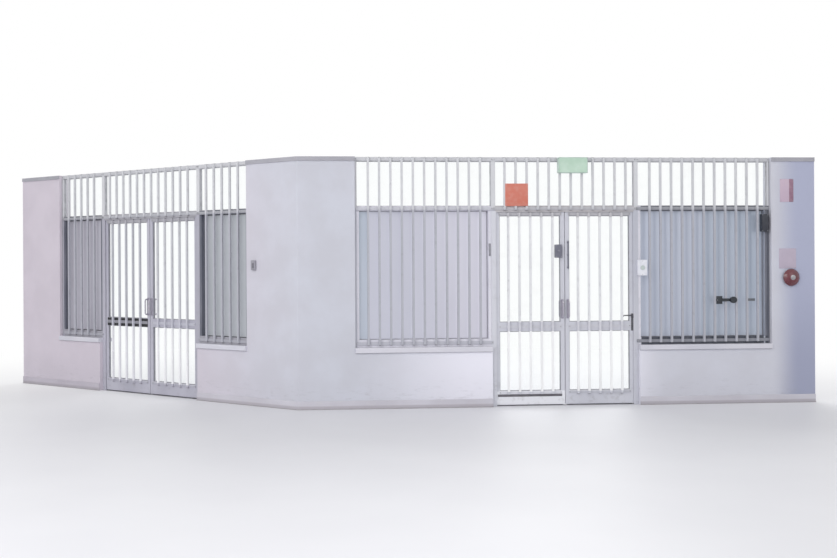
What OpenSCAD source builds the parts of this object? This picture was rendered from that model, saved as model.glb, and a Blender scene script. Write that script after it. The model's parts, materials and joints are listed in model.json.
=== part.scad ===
// Entrance front of a supermarket hall, seen from the room.
// Two glazed bays with double doors meet at an obtuse corner pier.
// The room side faces -Y, +X runs along the right bay and +Z is up.
// The origin is on the floor, in the middle of the corner pier's mitre.

/* [Masonry] */
// Height from the floor to the ceiling line
front_h = 3000; // [2800:10:3600]
// Thickness of the rendered walls
wall_t = 200; // [180:5:260]
// Angle by which the left bay turns back from the right bay
bend = 45; // [30:1:60]
// Radius of the bull-nosed arris between the bays
arris_r = 25; // [10:5:60]
// Run of the corner pier along the right bay
corner_right_w = 690; // [500:10:1200]
// Run of the corner pier along the left bay
corner_left_w = 810; // [500:10:1200]
// Width of the pier that ends the right bay
right_pier_w = 550; // [400:10:1200]
// Width of the pier that ends the left bay
left_pier_w = 840; // [400:10:1200]
// Height of the walls under the windows
sill_wall_h = 665; // [500:5:900]

/* [Sills, skirtings and trims] */
// Thickness of the sill boards
sill_t = 60; // [40:5:80]
// Reach of a sill board's nose into the room
sill_nose = 25; // [20:5:40]
// Radius of the nose's upper edge
sill_nose_r = 12; // [6:1:18]
// Overhang of a sill board outside
sill_overhang = 35; // [25:5:50]
// Fall of the weathered outer part of a sill board
sill_fall = 15; // [5:1:20]
// Radius of the drip groove under the overhang
drip_r = 5; // [3:1:6]
// Height of the skirtings
skirting_h = 100; // [80:5:150]
// Thickness of the skirtings
skirting_t = 12; // [10:1:20]
// Radius of the skirtings' upper edge
skirting_r = 6; // [3:1:8]
// Thickness of the trims along the ceiling line of the piers
trim_t = 12; // [8:1:20]

/* [Glazed bays] */
// Width of each window of the right bay, from pier to door post
right_window_w = 1660; // [1000:10:2000]
// Width of each window of the left bay, from pier to door post
left_window_w = 850; // [600:10:1600]
// Clear width between the door posts of the right bay
right_door_w = 1720; // [1500:10:1900]
// Clear width between the door posts of the left bay
left_door_w = 1770; // [1500:10:1900]
// Set-back of the frames from the room face of the walls
frame_setback = 50; // [50:5:70]
// Depth of posts, jambs and rails
frame_d = 60; // [60:5:90]
// Width of a door post
post_w = 50; // [50:5:120]
// Width of the jamb against a pier
jamb_w = 25; // [25:1:60]
// Height of the head rail
head_h = 50; // [40:5:80]
// Level of the top of the transom
transom_top = 2410; // [2300:5:2450]
// Height of the transom rail over the doors
transom_h = 60; // [50:5:90]
// Thickness of the clear glass
glass_t = 6; // [6:1:10]
// Depth by which glass stands in its frame
glass_bite = 9; // [6:1:12]
// Radius of the frame sections' arrises
section_r = 3; // [1:0.5:4]
// Width of the lips that the leaves close against
stop_w = 12; // [8:1:14]
// Gap between a closed leaf and its lips
stop_gap = 5; // [5:0.5:8]
// Clearance round the edges of glass in its pocket
pocket_clearance = 0.3; // [0.2:0.1:0.8]

/* [Window frames] */
// Distance of the window frames behind the posts' room faces
sash_setback = 5; // [2:1:8]
// Depth of the window frames
sash_d = 90; // [70:5:110]
// Width of the window frames' sides
sash_side_w = 32; // [28:1:60]
// Height of the window frames' top
sash_top_h = 55; // [45:5:80]
// Height of the window frames' foot
sash_foot_h = 90; // [60:5:110]
// Thickness of the obscured panes
pane_t = 8; // [6:1:12]
// Distance of a pane from the outer face of its frame
pane_inset = 12; // [8:1:20]
// Joint between two members of a window frame
joint = 0.3; // [0.2:0.1:0.5]

/* [Security bars] */
// Side of a square bar
bar_w = 25; // [20:1:30]
// Pitch of the bars
bar_pitch = 136; // [110:1:160]
// Height of a flat carrier
carrier_h = 36; // [30:2:40]
// Thickness of a flat carrier
carrier_t = 6; // [5:1:8]
// Length by which a carrier laps a post or a jamb
carrier_lap = 22; // [18:1:24]
// Length by which a carrier laps a leaf's stile
leaf_carrier_lap = 12; // [8:1:14]
// Distance of a leaf's carriers from the glass, on the rails behind them
leaf_carrier_edge = 2; // [1:1:4]
// Least distance from a doorway's edge or a leaf's stile to the middle of the first bar
bar_edge = 80; // [70:5:120]
// Least distance between a window's first bar and a fixture at the window's side
bar_gap = 5; // [5:1:8]

/* [Door leaves] */
// Thickness of a leaf
leaf_t = 45; // [40:1:50]
// Width of a leaf's stiles
stile_w = 50; // [45:1:60]
// Height of a leaf's top rail
top_rail_h = 50; // [45:5:80]
// Height of a leaf's bottom rail
bottom_rail_h = 165; // [120:5:200]
// Level of the underside of a leaf's mid rail
mid_rail_z = 900; // [800:5:950]
// Height of a leaf's mid rail
mid_rail_h = 110; // [80:5:140]
// Gap between a leaf and its post or the transom
leaf_gap = 5; // [5:0.5:8]
// Gap between two closed leaves
meeting_gap = 8; // [8:0.5:12]
// Gap between a leaf and the floor
floor_gap = 15; // [10:1:25]

/* [Hinges] */
// Outer radius of a hinge knuckle
knuckle_r = 8; // [7:0.5:10]
// Radius of a hinge pin
pin_r = 5; // [4:0.5:6]
// Running clearance between a pin and its knuckle
pin_clearance = 0.05; // [0.02:0.01:0.1]
// Height of one knuckle
knuckle_h = 50; // [40:5:60]
// Play between two knuckles, and between a knuckle and the pin's head
knuckle_play = 0.3; // [0.2:0.1:0.8]
// Radius of a pin's head
pin_head_r = 7; // [6:0.5:8]
// Height of a pin's head
pin_head_h = 5; // [3:0.5:8]
// Width of a hinge plate
hinge_plate_w = 38; // [30:1:45]
// Thickness of a hinge plate
hinge_plate_t = 3; // [2:0.5:4]
// Level of the lowest hinge
low_hinge_z = 170; // [150:5:300]
// Distance of the highest hinge below the top of a leaf
high_hinge_drop = 290; // [200:5:400]

/* [Handles and locks] */
// Height of a handle's back plate
handle_h = 235; // [200:5:300]
// Width of a handle's back plate
handle_plate_w = 34; // [24:1:44]
// Thickness of a handle's back plate
handle_plate_t = 4; // [3:0.5:6]
// Level of the underside of a handle
handle_z = 1050; // [1010:5:1100]
// Radius of a handle's round bar
grip_r = 9; // [8:1:11]
// Distance of the grip's middle from its plate
grip_reach = 48; // [44:1:60]
// Radius of the bends of a handle's bar
grip_bend_r = 24; // [20:1:28]
// Distance of the bar's feet from the ends of their plate
grip_foot = 18; // [12:1:30]
// Distance of a handle's middle from the stile's middle, towards the glass
handle_offset = 8; // [0:1:8]
// Width, depth and height of the lock case on the right bay's left leaf
lock_size = [90, 30, 160]; // [25:1:180]
// Length by which the lock case laps the stile
lock_lap = 15; // [12:1:45]
// Level of the underside of the lock case
lock_z = 1785; // [1500:5:1900]
// Radius of the lock's thumb turn
thumb_r = 14; // [10:1:18]
// Reach of the thumb turn from the lock case
thumb_reach = 14; // [8:1:20]
// Width, depth and height of the surface bolt on the right bay's right leaf
bolt_size = [14, 10, 340]; // [8:1:400]
// Corner radius of the surface bolt
bolt_r = 3; // [1:0.5:4]
// Distance of the bolt's middle from the stile's middle, towards the glass
bolt_offset = 12; // [0:1:16]
// Level of the underside of the surface bolt
bolt_z = 1650; // [1400:5:1800]

/* [Fixtures] */
// Length, depth and height of the exit light
exit_size = [360, 60, 190]; // [40:5:500]
// Distance of the exit light from the middle of the right doors
exit_offset = 75; // [0:5:200]
// Side and thickness of the red bell's base
bell_base = [130, 24]; // [15:1:160]
// Radius of the bell's gong
gong_r = 104; // [70:1:110]
// Height of the bell's gong
gong_h = 46; // [30:1:60]
// Radius and height of the nut on the gong
gong_nut = [11, 9]; // [5:1:15]
// Level of the bell's middle
bell_z = 1530; // [1400:10:1700]
// Distance of the bell's middle from the glazed bay
bell_offset = 240; // [150:5:300]
// Width, depth and height of the door switch
switch_size = [70, 25, 120]; // [20:1:150]
// Level of the door switch's middle
switch_z = 1715; // [1400:5:1800]
// Distance of the switch's middle from the left bay's glazing
switch_offset = 130; // [80:5:300]
// Width, depth and height of the release box beside the right doors
release_size = [115, 32, 190]; // [25:1:240]
// Length by which the release box laps the door post
release_lap = 15; // [12:1:50]
// Level of the release box's middle
release_z = 1660; // [1400:10:1800]
// Radius of the release's push
release_push_r = 28; // [20:1:40]
// Reach of the push from its box
release_push_reach = 8; // [4:1:12]
// Width, depth and height of the bolt's plate on a bar of the right window
catch_size = [250, 10, 36]; // [8:1:300]
// Level of the window bolt's middle
catch_z = 1260; // [1000:10:1500]
// Number of the bar that carries the window bolt
catch_bar = 7; // [1:1:9]
// Radius and depth of the window bolt's knob
catch_knob = [40, 34]; // [20:1:50]
// Width, depth and height of the junction box at the right window
junction_size = [85, 55, 215]; // [40:5:240]
// Length by which the junction box laps the side of the window frame
junction_lap = 22; // [12:1:32]
// Level of the junction box's middle
junction_z = 2200; // [1900:5:2230]
// Corner radius of the fixtures' boxes
fixture_r = 8; // [4:1:12]

/* [Hidden] */

$fn = 48;

// Colours as the object shows them
RENDER = [0.82, 0.82, 0.86];
PAINT = [0.88, 0.88, 0.90];
FRAME_GREY = [0.78, 0.78, 0.81];
SASH_GREY = [0.36, 0.37, 0.41];
BAR_GREY = [0.60, 0.60, 0.64];
OBSCURED = [0.68, 0.71, 0.75];
CLEAR = [0.80, 0.88, 0.92, 0.35];
DARK = [0.25, 0.24, 0.30];

// A bay holds the corner pier's run, the width of each window, the end pier's width
// and the clear width of its doors.
// Places in a bay count from the arris: u along the wall, v outwards from its room face.
RIGHT_BAY = [corner_right_w, right_window_w, right_pier_w, right_door_w];
LEFT_BAY = [corner_left_w, left_window_w, left_pier_w, left_door_w];
NEAR = 0;
FAR = 1;
SIDES = [NEAR, FAR];

function near_post_u(bay) = bay[0] + bay[1];
function door_u(bay) = near_post_u(bay) + post_w;
function far_post_u(bay) = door_u(bay) + bay[3];
function end_pier_u(bay) = far_post_u(bay) + post_w + bay[1];
function bay_end_u(bay) = end_pier_u(bay) + bay[2];
function window_u(bay, side) = side == NEAR ? bay[0] : far_post_u(bay) + post_w;
// The jamb stands against the pier, and the other edge of a window is a door post
function glazed_u(bay, side) = window_u(bay, side) + (side == NEAR ? jamb_w : 0);
function glazed_w(bay) = bay[1] - jamb_w;
function left_point(u, v) = [v * sin(bend) - u * cos(bend), u * sin(bend) + v * cos(bend)];
// Faces at depth v of the two bays meet at this point
function mitre_point(v) = [v * tan(bend / 2), v];

origin = mitre_point(wall_t) / 2;
// Overshoot of a cut past a face
past = 1;

// Levels
sill_top = sill_wall_h + sill_t;
head_z = front_h - head_h;
transom_z = transom_top - transom_h;
pane_z = sill_top + sash_foot_h;
pane_top = transom_top - sash_top_h;

// Depths
frame_out_v = frame_setback + frame_d;
glass_v = frame_setback + frame_d / 2;
sash_v = frame_setback + sash_setback;
sash_out_v = sash_v + sash_d;
pane_v = sash_out_v - pane_inset - pane_t / 2;
hinge_v = frame_out_v + knuckle_r;

// A leaf is drawn from its hinge axis, with its own u and v
leaf_start = leaf_gap / 2;
leaf_out_v = -knuckle_r;
leaf_in_v = leaf_out_v - leaf_t;
leaf_top = transom_z - leaf_gap;
function leaf_w(bay) = (bay[3] - 2 * leaf_gap - meeting_gap) / 2;
function leaf_glass_w(bay) = leaf_w(bay) - 2 * stile_w;
function meeting_stile_u(bay) = leaf_start + leaf_w(bay) - stile_w;
upper_glass_top = leaf_top - top_rail_h;
// Underside and top of the lower and the upper glass
GLASS_LEVELS = [[floor_gap + bottom_rail_h, mid_rail_z], [mid_rail_z + mid_rail_h, upper_glass_top]];
HINGE_LEVELS = [low_hinge_z, (low_hinge_z + leaf_top - high_hinge_drop) / 2, leaf_top - high_hinge_drop];

// Carriers' undersides, each in the middle of the member behind it
function carrier_level(z, h) = z + (h - carrier_h) / 2;
BAY_LEVELS = [carrier_level(sill_top, sash_foot_h), carrier_level(transom_z, transom_h),
    carrier_level(head_z, head_h)];
LEAF_LEVELS = [GLASS_LEVELS[0][0] - leaf_carrier_edge - carrier_h,
    carrier_level(mid_rail_z, mid_rail_h), upper_glass_top + leaf_carrier_edge];

// The bars stand in front of the frames, and some fixtures in front of the bars
bar_face_v = frame_setback - carrier_t - bar_w;
// A window's first bar leaves room for the fixtures that reach in from its sides
fixture_reach = max(release_size[0] - release_lap, sash_side_w - junction_lap + junction_size[0]);
window_edge = fixture_reach + bar_gap + bar_w / 2;
// Number of bars over a gap of width w, of which the first stands no nearer to its side than edge
function bar_count(w, edge) = 1 + floor((w - 2 * edge) / bar_pitch);
// Middle of bar i over a gap of width w that starts at u
function bar_u(u, w, edge, i) = u + (w - (bar_count(w, edge) - 1) * bar_pitch) / 2 + i * bar_pitch;

// The lips stand on the room side of the leaves
stop_d = hinge_v + leaf_in_v - stop_gap - frame_setback;

module in_right_bay() {
    translate([-origin[0], -origin[1], 0]) children();
}

module in_left_bay() {
    translate([-origin[0], -origin[1], 0]) rotate([0, 0, -bend]) mirror([1, 0, 0]) children();
}

// Box from its low corner in a bay
module block(u, v, z, w, d, h) {
    translate([u, v, z]) cube([w, d, h]);
}

// Outline in v and z, run along the bay
module run(u, length) {
    translate([u, 0, 0]) rotate([90, 0, 90]) linear_extrude(length) children();
}

// The same run from the arris, cut there on the mitre between the bays
module mitred_run(length, reach) {
    difference() {
        run(-reach, length + reach) children();
        rotate([0, 0, -bend / 2]) translate([-2 * reach, -2 * reach, -past])
            cube([2 * reach, 4 * reach, front_h + 2 * past]);
    }
}

// Rectangle with round corners, from its low corner
module section(w, d) {
    translate([w / 2, d / 2]) rounded_rect(w, d, section_r);
}

// Frame member along the bay, from its low corner
module rail(u, v, z, w, d, h) {
    run(u, w) translate([v, z]) section(d, h);
}

// Upright frame member, from its low corner
module upright(u, v, z, w, d, h) {
    translate([u, v, z]) linear_extrude(h) section(w, d);
}

// Rectangle with round corners, from its middle
module rounded_rect(w, h, r) {
    square([w - 2 * r, h], center = true);
    square([w, h - 2 * r], center = true);
    for (x = [r - w / 2, w / 2 - r], y = [r - h / 2, h / 2 - r]) translate([x, y]) circle(r);
}

// Box with round corners on the room face of a wall, from the middle of its back
module wall_box(u, z, w, depth, h, r) {
    translate([u, 0, z]) rotate([90, 0, 0]) linear_extrude(depth) rounded_rect(w, h, r);
}

// Sheet bedded into its frame on all four edges; grow makes the pocket for it
module bedded_sheet(u, v, z, w, t, h, grow) {
    edge = glass_bite + grow;
    block(u - edge, v - t / 2 - grow, z - edge, w + 2 * edge, t + 2 * grow, h + 2 * edge);
}

// Two straight walls meet on a mitre outside and a bull nose towards the room
module corner_pier() {
    nose = mitre_point(arris_r);
    color(RENDER) translate([-origin[0], -origin[1], 0]) linear_extrude(front_h) {
        polygon([[nose[0], 0], [corner_right_w, 0], [corner_right_w, wall_t], mitre_point(wall_t),
            left_point(corner_left_w, wall_t), left_point(corner_left_w, 0), left_point(nose[0], 0)]);
        translate(nose) circle(arris_r);
    }
}

module end_pier(bay) {
    color(RENDER) block(end_pier_u(bay), 0, 0, bay[2], wall_t, front_h);
}

module sill_wall(bay, side) {
    color(RENDER) block(window_u(bay, side), 0, 0, bay[1], wall_t, sill_wall_h);
}

// Round nose into the room, flat under the frame, and outside a fall with a drip groove
module sill_outline() {
    outer_v = wall_t + sill_overhang;
    difference() {
        union() {
            polygon([[-sill_nose, sill_wall_h], [outer_v, sill_wall_h], [outer_v, sill_top - sill_fall],
                [sash_out_v, sill_top], [sill_nose_r - sill_nose, sill_top],
                [-sill_nose, sill_top - sill_nose_r]]);
            translate([sill_nose_r - sill_nose, sill_top - sill_nose_r]) circle(sill_nose_r);
        }
        translate([wall_t + sill_overhang / 2, sill_wall_h]) circle(drip_r);
    }
}

module sill_boards(bay) {
    color(PAINT) for (side = SIDES) run(window_u(bay, side), bay[1]) sill_outline();
}

module skirting_outline() {
    polygon([[0, 0], [0, skirting_h], [skirting_r - skirting_t, skirting_h],
        [-skirting_t, skirting_h - skirting_r], [-skirting_t, 0]]);
    translate([skirting_r - skirting_t, skirting_h - skirting_r]) circle(skirting_r);
}

module end_skirting(bay) {
    color(PAINT) run(window_u(bay, FAR), bay_end_u(bay) - window_u(bay, FAR)) skirting_outline();
}

module corner_skirting() {
    color(PAINT) {
        in_right_bay() mitred_run(near_post_u(RIGHT_BAY), 2 * skirting_t) skirting_outline();
        in_left_bay() mitred_run(near_post_u(LEFT_BAY), 2 * skirting_t) skirting_outline();
    }
}

module trim_outline() {
    translate([-trim_t, head_z]) square([trim_t, head_h]);
}

// The head rails' line, carried on along the ceiling over the piers
module ceiling_trims() {
    color(FRAME_GREY) {
        in_right_bay() {
            mitred_run(corner_right_w, 2 * trim_t) trim_outline();
            run(end_pier_u(RIGHT_BAY), right_pier_w) trim_outline();
        }
        in_left_bay() {
            mitred_run(corner_left_w, 2 * trim_t) trim_outline();
            run(end_pier_u(LEFT_BAY), left_pier_w) trim_outline();
        }
    }
}

// Three clear lights over the transom: window, doors, window
module transom_lights(bay, grow = 0) {
    light_h = head_z - transom_top;
    color(CLEAR) {
        for (side = SIDES)
            bedded_sheet(glazed_u(bay, side), glass_v, transom_top, glazed_w(bay), glass_t, light_h, grow);
        bedded_sheet(door_u(bay), glass_v, transom_top, bay[3], glass_t, light_h, grow);
    }
}

// Two door posts with lips for the leaves, and two jambs against the piers.
// Each lip reaches back into its post past the round arris.
module posts(bay) {
    lip_w = stop_w + section_r;
    color(FRAME_GREY) difference() {
        union() {
            for (u = [near_post_u(bay), far_post_u(bay)])
                upright(u, frame_setback, 0, post_w, frame_d, head_z);
            for (u = [door_u(bay) - section_r, far_post_u(bay) - stop_w])
                block(u, frame_setback, 0, lip_w, stop_d, transom_z);
            for (u = [bay[0], end_pier_u(bay) - jamb_w])
                upright(u, frame_setback, sill_top, jamb_w, frame_d, head_z - sill_top);
        }
        transom_lights(bay, pocket_clearance);
    }
}

// Head rail over the whole bay, and between the door posts the transom with its lip
module rails(bay) {
    color(FRAME_GREY) difference() {
        union() {
            rail(bay[0], frame_setback, head_z, end_pier_u(bay) - bay[0], frame_d, head_h);
            rail(door_u(bay), frame_setback, transom_z, bay[3], frame_d, transom_h);
            block(door_u(bay) + stop_w, frame_setback, transom_z - stop_w,
                bay[3] - 2 * stop_w, stop_d, stop_w + section_r);
        }
        transom_lights(bay, pocket_clearance);
    }
}

module window_panes(bay, grow = 0) {
    color(OBSCURED) for (side = SIDES)
        bedded_sheet(glazed_u(bay, side) + sash_side_w, pane_v, pane_z,
            glazed_w(bay) - 2 * sash_side_w, pane_t, pane_top - pane_z, grow);
}

// Foot and top run through, and the sides stand between them
module window_frame(u, w) {
    side_h = pane_top - pane_z - 2 * joint;
    rail(u, sash_v, sill_top, w, sash_d, sash_foot_h);
    rail(u, sash_v, pane_top, w, sash_d, sash_top_h);
    for (side_u = [u, u + w - sash_side_w])
        upright(side_u, sash_v, pane_z + joint, sash_side_w, sash_d, side_h);
}

module window_frames(bay) {
    color(SASH_GREY) difference() {
        for (side = SIDES) window_frame(glazed_u(bay, side), glazed_w(bay));
        window_panes(bay, pocket_clearance);
        transom_lights(bay, pocket_clearance);
    }
}

// Upright bars over a gap of width w, fused to flat carriers that lap past it.
// The carriers' backs are at depth v, and levels gives their undersides.
module grille(u, w, v, lap, levels, edge = bar_edge) {
    foot = levels[0];
    height = levels[len(levels) - 1] + carrier_h - foot;
    for (i = [0 : bar_count(w, edge) - 1])
        block(bar_u(u, w, edge, i) - bar_w / 2, v - carrier_t - bar_w, foot, bar_w, bar_w, height);
    for (z = levels)
        block(u - lap, v - carrier_t, z, w + 2 * lap, carrier_t, carrier_h);
}

module bay_bars(bay) {
    color(BAR_GREY) {
        for (side = SIDES)
            grille(glazed_u(bay, side), glazed_w(bay), frame_setback, carrier_lap, BAY_LEVELS, window_edge);
        grille(door_u(bay), bay[3], frame_setback, carrier_lap, [BAY_LEVELS[1], BAY_LEVELS[2]]);
    }
}

// Places of the two leaves of a bay, each on its hinge axis
module at_leaf(bay, side) {
    if (side == NEAR) translate([door_u(bay) + leaf_start, hinge_v, 0]) children();
    if (side == FAR)
        translate([far_post_u(bay) - leaf_start, hinge_v, 0]) mirror([1, 0, 0]) children();
}

module in_right_doors(side) {
    in_right_bay() at_leaf(RIGHT_BAY, side) children();
}

module in_left_doors(side) {
    in_left_bay() at_leaf(LEFT_BAY, side) children();
}

// Lower knuckle and plate, fixed to the post, with the headed pin that stands in them
module post_hinge(z) {
    pin_h = 2 * (knuckle_h + knuckle_play);
    translate([0, 0, z]) {
        cylinder(r = knuckle_r, h = knuckle_h);
        cylinder(r = pin_r, h = pin_h);
        translate([0, 0, pin_h]) cylinder(r = pin_head_r, h = pin_head_h);
        translate([-hinge_plate_w, leaf_out_v, 0]) cube([hinge_plate_w, hinge_plate_t, knuckle_h]);
    }
}

module hinges(bay) {
    color(FRAME_GREY) for (side = SIDES) at_leaf(bay, side)
        for (z = HINGE_LEVELS) post_hinge(z);
}

// Upper knuckle and plate, fixed to the leaf
module leaf_knuckle(z) {
    translate([0, 0, z + knuckle_h + knuckle_play]) {
        cylinder(r = knuckle_r, h = knuckle_h);
        translate([0, leaf_out_v, 0]) cube([hinge_plate_w, hinge_plate_t, knuckle_h]);
    }
}

module leaf_glass(bay, grow = 0) {
    v = (leaf_in_v + leaf_out_v) / 2;
    color(CLEAR) for (span = GLASS_LEVELS)
        bedded_sheet(leaf_start + stile_w, v, span[0], leaf_glass_w(bay), glass_t, span[1] - span[0], grow);
}

// Rail of a leaf, which reaches into both stiles past their round arrises
module leaf_rail(bay, z, h) {
    rail(leaf_start + stile_w - section_r, leaf_in_v, z, leaf_glass_w(bay) + 2 * section_r, leaf_t, h);
}

// Stiles and three rails in one welded frame, pocketed for the glass, with the knuckles' bores
module leaf_frame(bay) {
    color(FRAME_GREY) difference() {
        union() {
            for (u = [leaf_start, meeting_stile_u(bay)])
                upright(u, leaf_in_v, floor_gap, stile_w, leaf_t, leaf_top - floor_gap);
            leaf_rail(bay, floor_gap, bottom_rail_h);
            leaf_rail(bay, mid_rail_z, mid_rail_h);
            leaf_rail(bay, upper_glass_top, top_rail_h);
            for (z = HINGE_LEVELS) leaf_knuckle(z);
        }
        leaf_glass(bay, pocket_clearance);
        for (z = HINGE_LEVELS) translate([0, 0, z + knuckle_h])
            cylinder(r = pin_r + pin_clearance, h = knuckle_h + past);
    }
}

module leaf_bars(bay) {
    color(BAR_GREY)
        grille(leaf_start + stile_w, leaf_glass_w(bay), leaf_in_v, leaf_carrier_lap, LEAF_LEVELS);
}

// Quarter bend of the handle's bar, in v and z, starting at the given angle
module grip_bend(start) {
    rotate([90, 0, 90]) rotate([0, 0, start]) rotate_extrude(angle = 90)
        translate([grip_bend_r, 0]) circle(grip_r);
}

// Back plate and D-shaped bar, on the plane v = 0 with the grip towards -v
module handle() {
    bend_v = grip_bend_r - handle_plate_t - grip_reach;
    stub = grip_reach + handle_plate_t - grip_bend_r;
    color(DARK) {
        translate([0, 0, handle_h / 2]) rotate([90, 0, 0]) linear_extrude(handle_plate_t)
            rounded_rect(handle_plate_w, handle_h, grip_r);
        for (z = [grip_foot, handle_h - grip_foot])
            translate([0, 0, z]) rotate([90, 0, 0]) cylinder(r = grip_r, h = stub);
        translate([0, bend_v, grip_foot + grip_bend_r]) grip_bend(180);
        translate([0, bend_v, handle_h - grip_foot - grip_bend_r]) grip_bend(90);
        translate([0, bend_v - grip_bend_r, grip_foot + grip_bend_r])
            cylinder(r = grip_r, h = handle_h - 2 * (grip_foot + grip_bend_r));
    }
}

module leaf_handles(bay) {
    u = meeting_stile_u(bay) + stile_w / 2 - handle_offset;
    translate([u, leaf_in_v, handle_z]) handle();
    translate([u, leaf_out_v, handle_z]) mirror([0, 1, 0]) handle();
}

// Rim lock on the stile's room face, with a thumb turn
module lock_case() {
    u = meeting_stile_u(RIGHT_BAY) + lock_lap - lock_size[0] / 2;
    z = lock_z + lock_size[2] / 2;
    color(DARK) translate([0, leaf_in_v, 0]) {
        wall_box(u, z, lock_size[0], lock_size[1], lock_size[2], fixture_r);
        translate([u, -lock_size[1], z]) rotate([90, 0, 0]) cylinder(r = thumb_r, h = thumb_reach);
    }
}

// Bolt bar on the meeting stile's room face
module surface_bolt() {
    u = meeting_stile_u(RIGHT_BAY) + stile_w / 2 - bolt_offset;
    color(DARK) translate([0, leaf_in_v, 0])
        wall_box(u, bolt_z + bolt_size[2] / 2, bolt_size[0], bolt_size[1], bolt_size[2], bolt_r);
}

module exit_light() {
    u = (door_u(RIGHT_BAY) + far_post_u(RIGHT_BAY)) / 2 + exit_offset;
    z = BAY_LEVELS[2] + carrier_h - exit_size[2] / 2;
    color("seagreen") in_right_bay() translate([0, bar_face_v, 0])
        wall_box(u, z, exit_size[0], exit_size[1], exit_size[2], fixture_r);
}

// Square base, and a domed gong with its nut
module call_point() {
    u = end_pier_u(RIGHT_BAY) + bell_offset;
    // Radius of the sphere that the dome is cut from
    dome_r = (gong_r * gong_r + gong_h * gong_h) / (2 * gong_h);
    color("firebrick") in_right_bay() {
        wall_box(u, bell_z, bell_base[0], bell_base[1], bell_base[0], fixture_r);
        translate([u, -bell_base[1], bell_z]) rotate([90, 0, 0]) {
            rotate_extrude() intersection() {
                translate([0, gong_h - dome_r]) circle(dome_r);
                square([gong_r, gong_h]);
            }
            cylinder(r = gong_nut[0], h = gong_h + gong_nut[1]);
        }
    }
}

module door_switch() {
    color(SASH_GREY) in_left_bay()
        wall_box(corner_left_w - switch_offset, switch_z, switch_size[0], switch_size[1], switch_size[2],
            fixture_r);
}

// Box with a round push, on the post beside the right doors
module door_release() {
    u = window_u(RIGHT_BAY, FAR) - release_lap + release_size[0] / 2;
    push_h = release_size[1] + release_push_reach;
    color(PAINT) in_right_bay() translate([u, frame_setback, 0]) {
        wall_box(0, release_z, release_size[0], release_size[1], release_size[2], fixture_r);
        translate([0, 0, release_z]) rotate([90, 0, 0]) cylinder(r = release_push_r, h = push_h);
    }
}

// Plate across a bar, with a round knob at its right end
module window_bolt() {
    u = bar_u(glazed_u(RIGHT_BAY, FAR), glazed_w(RIGHT_BAY), window_edge, catch_bar);
    knob_u = catch_size[0] / 2 - catch_knob[0];
    color(DARK) in_right_bay() translate([u, bar_face_v, 0]) {
        wall_box(0, catch_z, catch_size[0], catch_size[1], catch_size[2], fixture_r);
        translate([knob_u, 0, catch_z]) rotate([90, 0, 0]) cylinder(r = catch_knob[0], h = catch_knob[1]);
    }
}

// Box on the side of the right bay's last window frame
module junction_box() {
    side_u = end_pier_u(RIGHT_BAY) - jamb_w - sash_side_w;
    u = side_u + junction_lap - junction_size[0] / 2;
    color(DARK) in_right_bay() translate([0, sash_v, 0])
        wall_box(u, junction_z, junction_size[0], junction_size[1], junction_size[2], fixture_r);
}

corner_pier();
in_left_bay() end_pier(LEFT_BAY);  // left_pier
in_right_bay() end_pier(RIGHT_BAY);  // right_pier
in_left_bay() sill_wall(LEFT_BAY, FAR);  // left_bay_left_sill_wall
in_left_bay() sill_wall(LEFT_BAY, NEAR);  // left_bay_right_sill_wall
in_right_bay() sill_wall(RIGHT_BAY, NEAR);  // right_bay_left_sill_wall
in_right_bay() sill_wall(RIGHT_BAY, FAR);  // right_bay_right_sill_wall
in_left_bay() sill_boards(LEFT_BAY);  // left_bay_sill_boards
in_right_bay() sill_boards(RIGHT_BAY);  // right_bay_sill_boards
in_left_bay() end_skirting(LEFT_BAY);  // left_skirting
corner_skirting();
in_right_bay() end_skirting(RIGHT_BAY);  // right_skirting
ceiling_trims();
in_left_bay() posts(LEFT_BAY);  // left_bay_posts
in_right_bay() posts(RIGHT_BAY);  // right_bay_posts
in_left_bay() rails(LEFT_BAY);  // left_bay_rails
in_right_bay() rails(RIGHT_BAY);  // right_bay_rails
in_left_bay() transom_lights(LEFT_BAY);  // left_bay_transom_lights
in_right_bay() transom_lights(RIGHT_BAY);  // right_bay_transom_lights
in_left_bay() window_frames(LEFT_BAY);  // left_bay_window_frames
in_right_bay() window_frames(RIGHT_BAY);  // right_bay_window_frames
in_left_bay() window_panes(LEFT_BAY);  // left_bay_window_panes
in_right_bay() window_panes(RIGHT_BAY);  // right_bay_window_panes
in_left_bay() bay_bars(LEFT_BAY);  // left_bay_bars
in_right_bay() bay_bars(RIGHT_BAY);  // right_bay_bars
in_left_bay() hinges(LEFT_BAY);  // left_bay_hinges
in_right_bay() hinges(RIGHT_BAY);  // right_bay_hinges
in_left_doors(FAR) leaf_frame(LEFT_BAY);  // left_bay_left_leaf
in_left_doors(FAR) leaf_glass(LEFT_BAY);  // left_bay_left_leaf_glass
in_left_doors(FAR) leaf_bars(LEFT_BAY);  // left_bay_left_leaf_bars
in_left_doors(FAR) leaf_handles(LEFT_BAY);  // left_bay_left_leaf_handles
in_left_doors(NEAR) leaf_frame(LEFT_BAY);  // left_bay_right_leaf
in_left_doors(NEAR) leaf_glass(LEFT_BAY);  // left_bay_right_leaf_glass
in_left_doors(NEAR) leaf_bars(LEFT_BAY);  // left_bay_right_leaf_bars
in_left_doors(NEAR) leaf_handles(LEFT_BAY);  // left_bay_right_leaf_handles
in_right_doors(NEAR) leaf_frame(RIGHT_BAY);  // right_bay_left_leaf
in_right_doors(NEAR) leaf_glass(RIGHT_BAY);  // right_bay_left_leaf_glass
in_right_doors(NEAR) leaf_bars(RIGHT_BAY);  // right_bay_left_leaf_bars
in_right_doors(NEAR) {  // right_bay_left_leaf_handles
    leaf_handles(RIGHT_BAY);
    lock_case();
}
in_right_doors(FAR) leaf_frame(RIGHT_BAY);  // right_bay_right_leaf
in_right_doors(FAR) leaf_glass(RIGHT_BAY);  // right_bay_right_leaf_glass
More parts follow.
